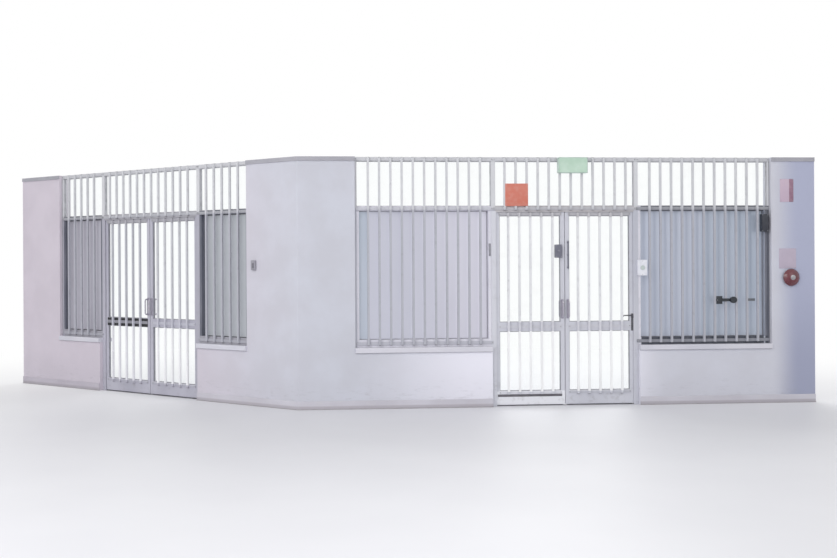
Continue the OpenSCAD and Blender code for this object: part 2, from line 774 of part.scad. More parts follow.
in_right_doors(FAR) leaf_bars(RIGHT_BAY);  // right_bay_right_leaf_bars
in_right_doors(FAR) {  // right_bay_right_leaf_handles
    leaf_handles(RIGHT_BAY);
    surface_bolt();
}
exit_light();
call_point();
door_switch();
door_release();
window_bolt();
junction_box();
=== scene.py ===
import json
import math

import bmesh
import bpy
from mathutils import Matrix, Vector


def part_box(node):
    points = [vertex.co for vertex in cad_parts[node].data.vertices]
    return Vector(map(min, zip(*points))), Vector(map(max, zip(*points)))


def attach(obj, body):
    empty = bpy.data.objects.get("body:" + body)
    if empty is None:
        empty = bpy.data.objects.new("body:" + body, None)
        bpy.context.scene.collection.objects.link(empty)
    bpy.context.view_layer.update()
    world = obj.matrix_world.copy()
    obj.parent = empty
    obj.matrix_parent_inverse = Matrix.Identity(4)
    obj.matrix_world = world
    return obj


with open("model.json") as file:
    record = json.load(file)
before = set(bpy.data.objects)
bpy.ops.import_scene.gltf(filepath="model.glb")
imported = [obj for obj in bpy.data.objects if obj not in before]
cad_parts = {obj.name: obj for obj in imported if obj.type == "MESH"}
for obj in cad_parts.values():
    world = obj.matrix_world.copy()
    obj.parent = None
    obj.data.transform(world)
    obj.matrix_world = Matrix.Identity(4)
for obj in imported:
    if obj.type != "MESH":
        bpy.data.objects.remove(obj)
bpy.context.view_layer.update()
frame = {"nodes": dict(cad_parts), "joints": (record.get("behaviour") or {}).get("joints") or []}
nodes = frame["nodes"]

# The camera
# It stands at eye height, at the far end of the room that the front closes, and leans a third of a degree.
# Its lens frames the front alone, and a small shift keeps the right bay nearly square to the view.
EYE = (-1.358, -13.961, 1.732)
HEADING = math.radians(4.81)
LEAN = math.radians(0.31)
LENS_MM = 50.65
SHIFT = (0.16, -0.0184)
SIGHT = 300
QUARTER = math.radians(90)
bpy.ops.object.select_all(action="DESELECT")
bpy.ops.object.camera_add(location=EYE, rotation=(QUARTER, LEAN, -HEADING))
camera = bpy.context.object
camera.data.lens = LENS_MM
camera.data.shift_x, camera.data.shift_y = SHIFT
camera.data.clip_end = SIGHT
bpy.context.scene.camera = camera


# The studio
# A pale floor carries the front's shadow and fades into a white surround.
# Wide soft lamps hang on both sides of the front, under a plain even sky.
class Wire:
    """A socket of its owner's nodes. Arithmetic on it adds Math nodes, and add() any other node."""

    def __init__(self, owner, socket=None):
        self.owner = owner
        self.socket = socket

    def add(self, kind, settings=None, inputs=None, output=0):
        tree = self.owner.node_tree
        node = tree.nodes.new("ShaderNode" + kind)
        for name, value in (settings or {}).items():
            setattr(node, name, value)
        for name, value in (inputs or {}).items():
            if isinstance(value, Wire):
                tree.links.new(value.socket, node.inputs[name])
            else:
                node.inputs[name].default_value = value
        return Wire(self.owner, node.outputs[output] if node.outputs else None)

    def maths(self, operation, first, second):
        return self.add("Math", {"operation": operation}, {0: first, 1: second})

    def __add__(self, other):
        return self.maths("ADD", self, other)

    def __sub__(self, other):
        return self.maths("SUBTRACT", self, other)

    def __rsub__(self, other):
        return self.maths("SUBTRACT", other, self)

    def __mul__(self, other):
        return self.maths("MULTIPLY", self, other)

    __radd__ = __add__
    __rmul__ = __mul__


def srgb(red, green, blue):
    """A colour as it is seen, 0 to 255 a channel, for a shader's socket."""
    shares = [value / 255 for value in (red, green, blue)]
    return [s / 12.92 if s <= 0.04045 else ((s + 0.055) / 1.055) ** 2.4 for s in shares] + [1.0]


def new_material(name, turn=0.0):
    """The Object coordinates of a new material, turned back about the upright by an angle."""
    made = bpy.data.materials.new(name)
    made.use_nodes = True
    made.node_tree.nodes.clear()
    spot = Wire(made).add("TexCoord", output="Object")
    return spot.add("Mapping", inputs={"Vector": spot, "Rotation": (0, 0, -turn)})


def ramp(value, low, high):
    """0 below low and 1 above high, with a soft step between."""
    return value.add("MapRange", {"interpolation_type": "SMOOTHSTEP"},
                     {"Value": value, "From Min": low, "From Max": high})


def tint(share, first, second):
    """The first colour where share is 0, and the second where it is 1: wires, or three channels as seen."""
    first, second = [colour if isinstance(colour, Wire) else srgb(*colour) for colour in (first, second)]
    return share.add("Mix", {"data_type": "RGBA"}, {0: share, 6: first, 7: second}, output=2)


def noise(vector, scale, detail=3.0, rough=0.5):
    """A cloudy pattern, about 0.3 to 0.7, with one cloud in 1 / scale metres."""
    inputs = {"Vector": vector, "Scale": scale, "Detail": detail, "Roughness": rough}
    return vector.add("TexNoise", inputs=inputs)


def show(shader):
    """Sends a shader to the output of its material, and hands the material back."""
    shader.add("OutputMaterial", inputs={"Surface": shader})
    return shader.owner


FLOOR_SIZE, FLOOR_Z = 240, -0.001
FADE_FROM, FADE_TO = 5.5, 16
FADE_CENTRE = (0.8, -6.0, 0.0)
WHITE = (1, 1, 1, 1)
bpy.ops.object.select_all(action="DESELECT")
bpy.ops.mesh.primitive_plane_add(size=FLOOR_SIZE, location=(0, 0, FLOOR_Z))
floor = bpy.context.object
floor.name = "floor"
spot = new_material("pale_floor")
far = spot.add("VectorMath", {"operation": "DISTANCE"}, {0: spot, 1: FADE_CENTRE}, output="Value")
grey = tint(noise(spot, 0.6), (222, 222, 227), (232, 232, 236))
dull = spot.add("BsdfPrincipled", inputs={"Base Color": grey, "Roughness": 0.5})
glow = spot.add("Emission", inputs={"Color": WHITE})
plain_rays = spot.add("LightPath", output="Is Camera Ray")
fade = ramp(far, FADE_FROM, FADE_TO) * plain_rays
floor.data.materials.append(show(spot.add("MixShader", inputs={0: fade, 1: dull, 2: glow})))

SKY_LIGHT = 0.6
SHOWN_TO = ("Is Camera Ray", "Is Glossy Ray", "Is Transmission Ray")
world = bpy.data.worlds.new("surround")
bpy.context.scene.world = world
world.use_nodes = True
world.node_tree.nodes.clear()
start = Wire(world)
rays = [start.add("LightPath", output=kind) for kind in SHOWN_TO]
shown = start.add("Clamp", inputs={"Value": rays[0] + rays[1] + rays[2]})
sky = start.add("Background", inputs={"Color": WHITE, "Strength": shown * (1 - SKY_LIGHT) + SKY_LIGHT})
sky.add("OutputWorld", inputs={"Surface": sky})

# Place, width in metres and power in watts of each lamp
LAMPS = [((-7.0, -11.0, 7.0), 9, 860), ((8.5, -10.0, 7.0), 8, 130), ((5.0, 11.0, 8.0), 10, 800)]
LIT_POINT = Vector((0.8, 0.6, 1.2))
for place, width, power in LAMPS:
    way = LIT_POINT - Vector(place)
    bpy.ops.object.light_add(type="AREA", location=place, rotation=way.to_track_quat("-Z", "Y").to_euler())
    lamp = bpy.context.object.data
    lamp.size = width
    lamp.energy = power
bpy.context.scene.view_settings.view_transform = "Standard"

# The masonry
# The piers and sill walls are brick under a coat of render, rolled with off-white wall paint. It is warmer
# on the left bay and dusty and scuffed at its foot, with painted light by the doors and painted shade
# greying the right end, most low down.
left_hinges = [Vector(joint["pos_m"]) for joint in frame["joints"] if joint["name"].startswith("left_bay")]
left_run = max(left_hinges, key=lambda p: p.x) - min(left_hinges, key=lambda p: p.x)
TURNS = {"right": 0.0, "left": math.atan2(left_run.y, left_run.x)}
X, Y, Z = range(3)
WALL_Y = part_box("right_pier")[0].y
PAINTED_LIGHT_IN, PAINTED_LIGHT_OUT = (0.5, 2.3), (3.9, 4.5)
SHADE_IN, REVEAL_DEPTH = (5.78, 6.14), 0.02


def parts_of(vector):
    """The three numbers of a vector."""
    return [vector.add("SeparateXYZ", inputs={0: vector}, output=axis) for axis in (X, Y, Z)]


def stretched(vector, x, y, z):
    """The same coordinates with each direction scaled."""
    return vector.add("Mapping", inputs={"Vector": vector, "Scale": (x, y, z)})


def bumps(height, depth, under=None):
    """Dents of a depth in metres where height falls from 1 to 0, over those under it."""
    inputs = {"Height": height, "Distance": depth}
    if under is not None:
        inputs["Normal"] = under
    return height.add("Bump", inputs=inputs)


def surface(colour, roughness, dents, more=None):
    """Ends a material in a surface with a colour, a roughness, dents and what more it has."""
    inputs = {"Base Color": colour, "Roughness": roughness, "Normal": dents, **(more or {})}
    return show(colour.add("BsdfPrincipled", inputs=inputs))


def dress(finish, *names):
    """Gives a finish to CAD nodes."""
    for name in names:
        for held in nodes[name].material_slots:
            held.material = finish


spot = new_material("painted_render")
along, depth, height = parts_of(spot)
drift = ramp(0.5 * noise(spot, 0.45, 2) - 0.5 * along, 0.1, 1.2)
patch = ramp(noise(spot, 2.3, 4), 0.35, 0.7)
roller = noise(stretched(spot, 1, 1, 0.35), 170, 3)
trowel = noise(stretched(spot, 1, 1, 2.5), 3.2, 3)
dust = 0.2 * (1 - ramp(height, 0.0, 0.6))
scuff = (1 - ramp(height, 0.1, 0.42)) * ramp(noise(stretched(spot, 1, 1, 4), 7, 6, 0.7), 0.52, 0.72)
# Painted light brightens the wall by the doors, and painted shade darkens the room face of the right end,
# more low down
painted_light = ramp(along, *PAINTED_LIGHT_IN) * (1 - 0.8 * ramp(along, *PAINTED_LIGHT_OUT))
shade = ramp(along, *SHADE_IN) * (1 - ramp(depth, WALL_Y, WALL_Y + REVEAL_DEPTH))
cool = tint(patch, (200, 201, 210), (206, 208, 218))
warm = tint(patch, (210, 202, 212), (216, 208, 218))
shaded = tint(ramp(height, 0.3, 1.8), (164, 168, 191), (181, 185, 208))
paint = tint(painted_light, tint(drift, cool, warm), (240, 239, 249))
paint = tint(shade, tint(dust, paint, (188, 187, 196)), shaded)
render = surface(tint(scuff * 0.28, paint, (158, 156, 162)), 0.72 + 0.14 * patch,
                 bumps(roller, 0.0007, bumps(trowel, 0.0024)), {"Specular IOR Level": 0.35})
dress(render, "corner_pier", "left_pier", "right_pier",
      *[f"{bay}_bay_{side}_sill_wall" for bay in TURNS for side in ("left", "right")])


# The sill boards and skirtings
# They are timber, nailed to the wall, under thick satin paint that shows the brush along the grain.
# The boards are off-white. Mops and trolleys have rubbed the grey skirtings, which are darker in a band at
# the floor.
def painted_timber(bay, fresh, aged, rubbed_and_dark_foot):
    spot = new_material(f"painted_timber_{bay}_{rubbed_and_dark_foot}", TURNS[bay])
    grain = noise(stretched(spot, 0.12, 1, 1), 120, 4)
    age = ramp(noise(spot, 1.7, 4), 0.35, 0.7)
    rub = rubbed_and_dark_foot * ramp(noise(stretched(spot, 0.5, 1, 1.6), 16, 6, 0.7), 0.5, 0.66)
    # The skirtings are darker in a band at the floor
    foot = rubbed_and_dark_foot * (1 - ramp(parts_of(spot)[Z], 0.028, 0.05))
    colour = tint(rub * 0.35, tint(age, fresh, aged), (206, 204, 208))
    return surface(tint(foot * 0.75, colour, (170, 165, 172)), 0.3 + 0.2 * age + 0.2 * rub,
                   bumps(grain, 0.0005), {"Coat Weight": 0.25, "Coat Roughness": 0.25})


BOARD_PAINT = ((216, 215, 224), (207, 207, 217))
SKIRTING_PAINT = {"right": ((205, 203, 212), (195, 192, 201)), "left": ((195, 189, 200), (185, 179, 190))}
SKIRTINGS = {"right": ("right_skirting", "corner_skirting"), "left": ("left_skirting",)}
for bay in TURNS:
    dress(painted_timber(bay, *BOARD_PAINT, 0), f"{bay}_bay_sill_boards")
    dress(painted_timber(bay, *SKIRTING_PAINT[bay], 1), *SKIRTINGS[bay])

# The filler beads
# Grey filler closes the skirtings to the floor, the sill boards to the wall and the jambs to the piers. Its
# grey is partly painted shade, for the shadow lines at the floor and under the sill boards.
# It is run in from a tube and wiped with a finger, so each bead is a small rounded fillet.
SKIRTING_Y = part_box("right_skirting")[0].y
FLOOR_BEAD, BOARD_BEAD, JAMB_BEAD = 0.008, 0.005, 0.007
PAST_MITRE = 0.06
HAIR = 0.001
FACING = 0.9


def measure(node, bay, plane=None):
    """A node's triangles with x along their bay: all, or those in a plane, given as an axis and a value."""
    back_turn = Matrix.Rotation(-TURNS[bay], 3, "Z")
    mesh = nodes[node].data
    faces = [[back_turn @ mesh.vertices[i].co for i in face.vertices] for face in mesh.polygons]
    if plane is None:
        return faces
    axis, value = plane
    return [face for face in faces if all(abs(point[axis] - value) < HAIR / 2 for point in face)]


def corners(faces):
    """Low and high corner of the box round some faces."""
    points = [point for face in faces for point in face]
    return [Vector([limit(p[axis] for p in points) for axis in (X, Y, Z)]) for limit in (min, max)]


def islands(node, bay, plane=None, axes=(X,)):
    """Corners of each group of a node's faces that stands apart from the rest along the axes in turn."""
    groups = [measure(node, bay, plane)]
    for axis in axes:
        parts = []
        for group in groups:
            reach = -math.inf
            for face in sorted(group, key=lambda face: min(p[axis] for p in face)):
                if min(p[axis] for p in face) > reach + HAIR:
                    parts.append([])
                parts[-1].append(face)
                reach = max([reach] + [p[axis] for p in face])
        groups = parts
    return [corners(group) for group in groups]


def opened():
    """Applies the place of a new primitive, and opens it in edit mode with nothing selected."""
    bpy.ops.object.transform_apply()
    bpy.ops.object.mode_set(mode="EDIT")
    bpy.ops.mesh.select_all(action="DESELECT")
    return bpy.context.object


def closed(piece):
    """Leaves edit mode."""
    bpy.ops.object.mode_set(mode="OBJECT")
    return piece


def blank(low, high):
    """Starts a piece as a block between two corners, in edit mode with nothing selected."""
    low, high = Vector(low), Vector(high)
    bpy.ops.object.select_all(action="DESELECT")
    bpy.ops.mesh.primitive_cube_add(size=1, location=(low + high) / 2, scale=high - low)
    return opened()


def pick(piece, kind, wanted):
    """Selects, in edit mode, the faces or edges whose middle and direction pass a test."""
    bpy.ops.mesh.select_mode(type="FACE" if kind == "faces" else "EDGE")
    bpy.ops.mesh.select_all(action="DESELECT")
    mesh = bmesh.from_edit_mesh(piece.data)
    for element in getattr(mesh, kind):
        points = [corner.co for corner in element.verts]
        middle = sum(points, Vector()) / len(points)
        way = element.normal if kind == "faces" else (points[1] - points[0]).normalized()
        if wanted(middle, way):
            element.select_set(True)
    bmesh.update_edit_mesh(piece.data)


def fillet(low, high, seat, mitre=None):
    """A run of filler between two corners, rounded off along the edge farthest from its seat.
    A mitre is the direction that it keeps of a cut through the origin."""
    run = blank(low, high)
    size = Vector(high) - Vector(low)
    along = max((X, Y, Z), key=lambda axis: size[axis])
    across = [axis for axis in (X, Y, Z) if axis != along]
    pick(run, "edges", lambda at, way: abs(way[along]) > FACING
         and all(abs(at[axis] - seat[axis]) > size[axis] / 2 for axis in across))
    bpy.ops.mesh.bevel(offset=min(size) * 0.8, segments=3, affect="EDGES")
    if mitre:
        bpy.ops.mesh.select_all(action="SELECT")
        bpy.ops.mesh.bisect(plane_co=(0, 0, 0), plane_no=mitre, use_fill=True, clear_inner=True)
    return closed(run)


def fit(name, pieces, finish, bay="right", body="front"):
    """Joins what was modelled on the straight elevation, turns it into its bay, and hands it to its body."""
    bpy.context.view_layer.update()
    bpy.ops.object.select_all(action="DESELECT")
    for piece in pieces:
        piece.select_set(True)
    whole = pieces[0]
    bpy.context.view_layer.objects.active = whole
    if len(pieces) > 1:
        bpy.ops.object.join()
    bpy.ops.object.transform_apply()
    whole.name = name
    whole.rotation_euler.z = TURNS[bay]
    bpy.ops.object.transform_apply()
    whole.data.materials.clear()
    whole.data.materials.append(finish)
    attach(whole, body)


def bloomed(name, colour, dulled, share, cloud, rough, grain, depth, more=None):
    """A stuff whose surface has dulled by a share and roughened in clouds, with a fine grain."""
    spot = new_material(name)
    bloom = ramp(noise(spot, cloud, 4), 0.4, 0.7)
    dents = bumps(noise(spot, *grain), depth)
    return surface(tint(bloom * share, colour, dulled), rough + 0.25 * bloom, dents, more)


# The fillers' grey is partly painted shade, for the shadow lines at the floor and under the sill boards
FILLER_AGE = ((128, 127, 130), 0.35, 9, 0.55, (300, 3), 0.0004)
floor_filler = bloomed("floor_filler", (164, 160, 165), *FILLER_AGE)
wall_filler = bloomed("wall_filler", (150, 149, 156), *FILLER_AGE)
half_turn = TURNS["left"] / 2
MITRE_WAY = {"right": (math.cos(half_turn), math.sin(half_turn), 0),
             "left": (-math.cos(half_turn), math.sin(half_turn), 0)}
for bay in TURNS:
    beads = []
    for node in ("corner_skirting", f"{bay}_skirting"):
        low, high = islands(node, bay, (Y, SKIRTING_Y))[0]
        past = PAST_MITRE if node == "corner_skirting" else 0
        low_x = low.x - (past if bay == "right" else 0)
        high_x = high.x + (past if bay == "left" else 0)
        beads.append(fillet((low_x, SKIRTING_Y - FLOOR_BEAD, 0), (high_x, SKIRTING_Y, FLOOR_BEAD),
                            (0, SKIRTING_Y, 0), MITRE_WAY[bay]))
    fit(f"{bay}_floor_bead", beads, floor_filler, bay)
    beads = [fillet((low.x, WALL_Y - BOARD_BEAD, low.z - BOARD_BEAD), (high.x, WALL_Y, low.z),
                    (0, WALL_Y, low.z)) for low, high in islands(f"{bay}_bay_sill_boards", bay)]
    jambs = islands(f"{bay}_bay_posts", bay)
    for (low, high), way in ((jambs[0], 1), (jambs[-1], -1)):
        pier_x = low.x if way > 0 else high.x
        for face_y, out in ((low.y, -1), (high.y, 1)):
            xs = sorted((pier_x, pier_x + way * JAMB_BEAD))
            ys = sorted((face_y, face_y + out * JAMB_BEAD))
            beads.append(fillet((xs[0], ys[0], low.z), (xs[1], ys[1], high.z), (pier_x, face_y, 0)))
    fit(f"{bay}_bay_beads", beads, wall_filler, bay)

# The posts, jambs, rails and ceiling trims
# They are aluminium sections with a pale grey powder coat, cut square and screwed at their ends. Painted
# light pales the coat above the transom height, and patches on two right posts are painted light and, in
# part, painted shade.
# Soft black seals stand in the stop lips round the doors, where the leaves close on them.
NOT_SUNLIT = 9.0


def between(value, low, high):
    """1 where a value lies between two limits, and 0 outside them."""
    return ramp(value, low - HAIR, low + HAIR) * (1 - ramp(value, high - HAIR, high + HAIR))


def powder_coat(name, bay, pale, shaded, grime=0.35, sunlit_z=NOT_SUNLIT, patches=()):
    """Grey coat with marks of hands and feet, paled by painted light above a height where the sun comes
    through the glass.
    Each patch has its limits along x and z and its colour."""
    spot = new_material(name, TURNS[bay])
    along, _, height = parts_of(spot)
    drift = ramp(noise(stretched(spot, 1, 1, 0.3), 1.6, 3), 0.35, 0.65)
    hands = ramp(noise(spot, 11, 5, 0.65), 0.5, 0.72)
    coat = tint(drift, pale, shaded)
    # Painted light: the coat turns pale above sunlit_z, where bright glass is behind it
    coat = tint(ramp(height, sunlit_z, sunlit_z + 0.06), coat, (212, 213, 217))
    for low_x, high_x, low_z, high_z, colour in patches:
        coat = tint(between(along, low_x, high_x) * between(height, low_z, high_z), coat, colour)
    marks = hands * (0.1 + grime * (1 - ramp(height, 0.02, 0.5)))
    return surface(tint(marks, coat, (128, 124, 124)), 0.34 + 0.18 * hands,
                   bumps(noise(spot, 420, 2), 0.00015))


RUBBER_AGE = ((96, 96, 100), 0.3, 14, 0.5, (900, 2), 0.0002)
black_rubber = bloomed("black_rubber", (38, 38, 42), *RUBBER_AGE)
SEAL_W, SEAL_DEPTH, SEAL_INSET = 0.006, 0.0045, 0.0005
SUNLIT_Z, RAILS_SUNLIT_Z = 2.35, 2.9
POST_COATS = {"right": ((202, 203, 212), (190, 192, 203)), "left": ((186, 185, 197), (174, 173, 185))}
RAIL_COATS = {"right": ((194, 191, 194), (184, 181, 185)), "left": ((173, 172, 179), (165, 164, 171))}
TRIM_COAT = ((172, 171, 179), (162, 162, 170))
# On the right bay, the post left of the doors is paler with painted light, and the end jamb is dark grey by
# the window, partly its own colour and partly painted shade in the reveal
POST_PATCHES = {"left": (), "right": ((2.3, 2.4, 0.0, SUNLIT_Z, (213, 214, 222)),
                                      (5.76, 5.8, 0.725, 2.41, (94, 97, 108)))}
for bay in TURNS:
    dress(powder_coat(f"post_coat_{bay}", bay, *POST_COATS[bay], sunlit_z=SUNLIT_Z,
                      patches=POST_PATCHES[bay]), f"{bay}_bay_posts")
    dress(powder_coat(f"rail_coat_{bay}", bay, *RAIL_COATS[bay], sunlit_z=RAILS_SUNLIT_Z), f"{bay}_bay_rails")
    posts = islands(f"{bay}_bay_posts", bay)
    low, high = islands(f"{bay}_bay_rails", bay, axes=(Z,))[0]
    door_low, door_high = posts[1][1].x, posts[2][0].x
    lip_y = (low.y + high.y) / 2
    seals = []
    for low_x, high_x, low_z, high_z in [
            (door_low - SEAL_INSET - SEAL_W, door_low - SEAL_INSET, SEAL_W, low.z),
            (door_high + SEAL_INSET, door_high + SEAL_INSET + SEAL_W, SEAL_W, low.z),
            (door_low, door_high, low.z + SEAL_INSET, low.z + SEAL_INSET + SEAL_W)]:
        seal = blank((low_x, lip_y, low_z), (high_x, lip_y + SEAL_DEPTH, high_z))
        pick(seal, "edges", lambda at, way: at.y > lip_y + SEAL_DEPTH / 2 and abs(way.y) < 1 - FACING)
        bpy.ops.mesh.bevel(offset=SEAL_W * 0.3, segments=3, affect="EDGES")
        seals.append(closed(seal))
    fit(f"{bay}_bay_door_seals", seals, black_rubber, bay)
dress(powder_coat("trim_coat", "right", *TRIM_COAT), "ceiling_trims")

# The windows
# Each is a grey aluminium frame of four lengths round a pane under an obscuring film. Some frames are darker
# with painted shade, and the film carries a painted glow for daylight and painted light and shade along the
# bays.
# Rubber gaskets hold the pane on both faces, and caps shield the drain slots outside.
END_REVEAL, FOOT_TOP = (5.713, 5.733), (0.815, 0.82)
# Strength of the film's glow, a painted light for daylight through it
DAYLIGHT = 0.3
PANE_BITE = 0.009
GASKET_W, GASKET_DEPTH = 0.007, 0.007


def window_coat(bay, dark_from, dark_to, foot_tone):
    """Pale grey, and dark grey between two limits along x, partly the frames' own colour and partly painted
    shade.
    The foot has its own tone there, and the end reveal is lightened with painted light.
    """
    spot = new_material(f"window_coat_{bay}", TURNS[bay])
    along, _, height = parts_of(spot)
    drift = ramp(noise(stretched(spot, 0.4, 1, 0.4), 3, 3), 0.35, 0.65)
    hands = ramp(noise(spot, 12, 5, 0.65), 0.5, 0.72)
    pale = tint(drift, (226, 225, 234), (218, 217, 227))
    dark = tint(drift, (118, 120, 131), (98, 101, 113))
    # Painted shade: the dark grey is partly painted shade, as is the right bay's dark foot; the end reveal's
    # paler grey is painted light
    dark = tint(1 - ramp(height, *FOOT_TOP), dark, foot_tone)
    dark = tint(between(along, *END_REVEAL), dark, (176, 180, 191))
    coat = tint(between(along, dark_from, dark_to), pale, dark)
    return surface(tint(hands * 0.2, coat, (140, 139, 142)), 0.36 + 0.2 * hands,
                   bumps(noise(spot, 420, 2), 0.00015))


def obscured_film(bay, first, changes):
    """Film with a painted glow that stands in for daylight through it. Its grey changes from each x of a
    list, over a width, as painted light and shade.
    """
    spot = new_material(f"obscured_film_{bay}", TURNS[bay])
    along = parts_of(spot)[X]
    drift = ramp(noise(stretched(spot, 1, 1, 0.25), 2.2, 4), 0.35, 0.65)
    streaks = noise(stretched(spot, 1, 1, 0.05), 40, 3)
    colour = first
    for from_x, width, tone in changes:
        colour = tint(ramp(along, from_x - HAIR, from_x + width), colour, tone)
    film = tint(drift * 0.12, colour, (214, 214, 224))
    return surface(film, 0.12 + 0.12 * drift, bumps(streaks, 0.0002),
                   {"Emission Color": film, "Emission Strength": DAYLIGHT, "Metallic": 0.12})


def soften(piece, width):
    """Leaves edit mode, and rounds the sharp edges of a piece."""
    rounding = closed(piece).modifiers.new("rounding", "BEVEL")
    rounding.width = width
    rounding.segments = 2
    rounding.limit_method = "ANGLE"
    bpy.ops.object.modifier_apply(modifier=rounding.name)
    bpy.ops.object.shade_smooth_by_angle(angle=math.radians(40))
    return piece


def gaskets(panes):
    """A ring of rubber on both faces of each pane, in the corner between the glass and its frame."""
    rings = []
    for low, high in panes:
        for low_y, high_y in ((low.y - GASKET_DEPTH, low.y), (high.y, high.y + GASKET_DEPTH)):
            ring = blank((low.x + PANE_BITE, low_y, low.z + PANE_BITE),
                         (high.x - PANE_BITE, high_y, high.z - PANE_BITE))
            pick(ring, "faces", lambda at, way: abs(way.y) > FACING)
            bpy.ops.mesh.inset(thickness=GASKET_W)
            bpy.ops.mesh.bridge_edge_loops()
            rings.append(soften(ring, GASKET_W * 0.25))
    return rings


grey_rubber = bloomed("grey_rubber", (158, 158, 165), *RUBBER_AGE)
GASKET_RUBBER = {"right": grey_rubber, "left": black_rubber}
# The film's greys along each bay are painted light and shade: paler by the right doors, darker toward the
# right end
FILM = {"right": ((172, 180, 191), [(0.84, HAIR, (190, 191, 202)), (1.2, 0.9, (202, 201, 211)),
                                    (3.0, HAIR, (174, 180, 194)), (4.95, HAIR, (162, 171, 185))]),
        "left": ((166, 164, 174), [(-3.0, HAIR, (162, 166, 171))])}
# Where the dark frames start and end along x, and their foot's tone; the right bay's dark foot is painted
# shade
DARK_FRAMES = {"right": (4.165, 7.0, (74, 77, 88)), "left": (-7.0, 0.0, (168, 167, 176))}
CAP_SIZE = Vector((0.034, 0.005, 0.012))
CAP_RISE = 0.026
for bay in TURNS:
    window_finish = window_coat(bay, *DARK_FRAMES[bay])
    dress(window_finish, f"{bay}_bay_window_frames")
    dress(obscured_film(bay, *FILM[bay]), f"{bay}_bay_window_panes")
    for pane, side in zip(islands(f"{bay}_bay_window_panes", bay), ("left", "right")):
        fit(f"{bay}_bay_{side}_window_gaskets", gaskets([pane]), GASKET_RUBBER[bay], bay)
    caps = []
    for low, high in islands(f"{bay}_bay_window_frames", bay):
        for share in (0.2, 0.8):
            middle = Vector((low.x + share * (high.x - low.x), high.y + CAP_SIZE.y / 2, low.z + CAP_RISE))
            cap = blank(middle - CAP_SIZE / 2, middle + CAP_SIZE / 2)
            pick(cap, "edges", lambda at, way: abs(way.x) > FACING and at.y > middle.y and at.z > middle.z)
            bpy.ops.mesh.bevel(offset=CAP_SIZE.y * 0.7, segments=3, affect="EDGES")
            caps.append(soften(cap, CAP_SIZE.y * 0.12))
    fit(f"{bay}_bay_drain_caps", caps, window_finish, bay)


# The transom lights
# Panes of clear float glass fill the top of each bay, bedded in pale gaskets.
# Dust lies on them, which shows as a faint veil.
def clear_glass(bay):
    spot = new_material(f"clear_glass_{bay}", TURNS[bay])
    dust = ramp(noise(spot, 3, 5), 0.45, 0.8)
    slant = ramp(spot.add("LayerWeight", inputs={"Blend": 0.5}, output="Facing"), 0.3, 1.0)
    through = spot.add("BsdfTransparent", inputs={"Color": srgb(254, 255, 255)})
    gloss = spot.add("BsdfPrincipled", inputs={"Base Color": srgb(244, 245, 246), "Roughness": 0.05})
    return show(spot.add("MixShader", inputs={0: 0.02 + 0.4 * slant + dust * 0.04, 1: through, 2: gloss}))


glass = {bay: clear_glass(bay) for bay in TURNS}
pale_rubber = bloomed("pale_rubber", (196, 196, 201), *RUBBER_AGE)
for bay in TURNS:
    node = f"{bay}_bay_transom_lights"
    dress(glass[bay], node)
    fit(f"{bay}_bay_light_gaskets", gaskets(islands(node, bay)), pale_rubber, bay)


# The security bars
# Square steel tubes are welded to flat carriers, and the grilles are screwed to the frames inside.
# Plugs close the tubes' ends. Painted light pales the satin grey paint wherever clear glass is behind it, and
# the carriers' tones from window to window are painted light and shade.
def bar_paint(name, bay, carrier_y, below, from_z, above, shades, crossings=()):
    """Bars with one colour below a height, one above it, and one between each crossing's limits of height;
    the paler ones are painted light from bright glass behind. Carriers have a colour between each shade's
    limits on an axis, painted light and shade."""
    spot = new_material(name, TURNS[bay])
    place = parts_of(spot)
    carrier = ramp(place[Y], carrier_y - HAIR / 2, carrier_y + HAIR / 2)
    drift = ramp(noise(stretched(spot, 1, 1, 0.2), 9, 4), 0.35, 0.65)
    hands = ramp(noise(spot, 14, 5, 0.65), 0.5, 0.7) * ramp(place[Z], 0.7, 1.1)
    bar = tint(ramp(place[Z], from_z, from_z + 0.05), below, above)
    for low, high, colour in crossings:
        bar = tint(between(place[Z], low, high), bar, colour)
    bar = tint(drift * 0.12, bar, (140, 142, 152))
    flat = tint(drift, (206, 207, 212), (198, 199, 205))
    for axis, low, high, colour in shades:
        flat = tint(between(place[axis], low, high), flat, colour)
    return surface(tint(hands * 0.15, tint(carrier, bar, flat), (112, 111, 115)), 0.38 + 0.16 * drift,
                   bumps(noise(stretched(spot, 1, 1, 0.15), 260, 3), 0.0002))


def round_blank(sides, radius, length, middle=(0, 0, 0), rotation=(0, 0, 0)):
    """Starts a piece as a cylinder about a middle, in edit mode with nothing selected."""
    bpy.ops.object.select_all(action="DESELECT")
    bpy.ops.mesh.primitive_cylinder_add(vertices=sides, radius=radius, depth=length, location=middle,
                                        rotation=rotation)
    return opened()


def pick_faces(piece, axis, side):
    """Selects the faces that look along an axis, to its side -1 or 1."""
    pick(piece, "faces", lambda at, way: way[axis] * side > FACING)


def push(x=0.0, y=0.0, z=0.0):
    """Extrudes the selected faces by a distance."""
    bpy.ops.mesh.extrude_region_move(TRANSFORM_OT_translate={"value": (x, y, z)})


def plated_screw(radius, height):
    """A screw's head at the origin, facing the room, with a socket sunk into it."""
    screw = round_blank(12, radius, height, (0, -height / 2, 0), (QUARTER, 0, 0))
    pick_faces(screw, Y, -1)
    bpy.ops.mesh.inset(thickness=radius * 0.3)
    bpy.ops.transform.translate(value=(0, -height * 0.25, 0))
    bpy.ops.mesh.inset(thickness=radius * 0.25)
    push(y=height * 0.6)
    return closed(screw)


def end_plug():
    """A plastic plug under a square tube's end at the origin."""
    half = BAR_DEPTH / 2
    plug = blank((-half, -half, -PLUG_T), (half, half, 0))
    pick_faces(plug, Z, -1)
    bpy.ops.mesh.inset(thickness=half * 0.2)
    push(z=PLUG_T * 0.4)
    return soften(plug, PLUG_T * 0.25)


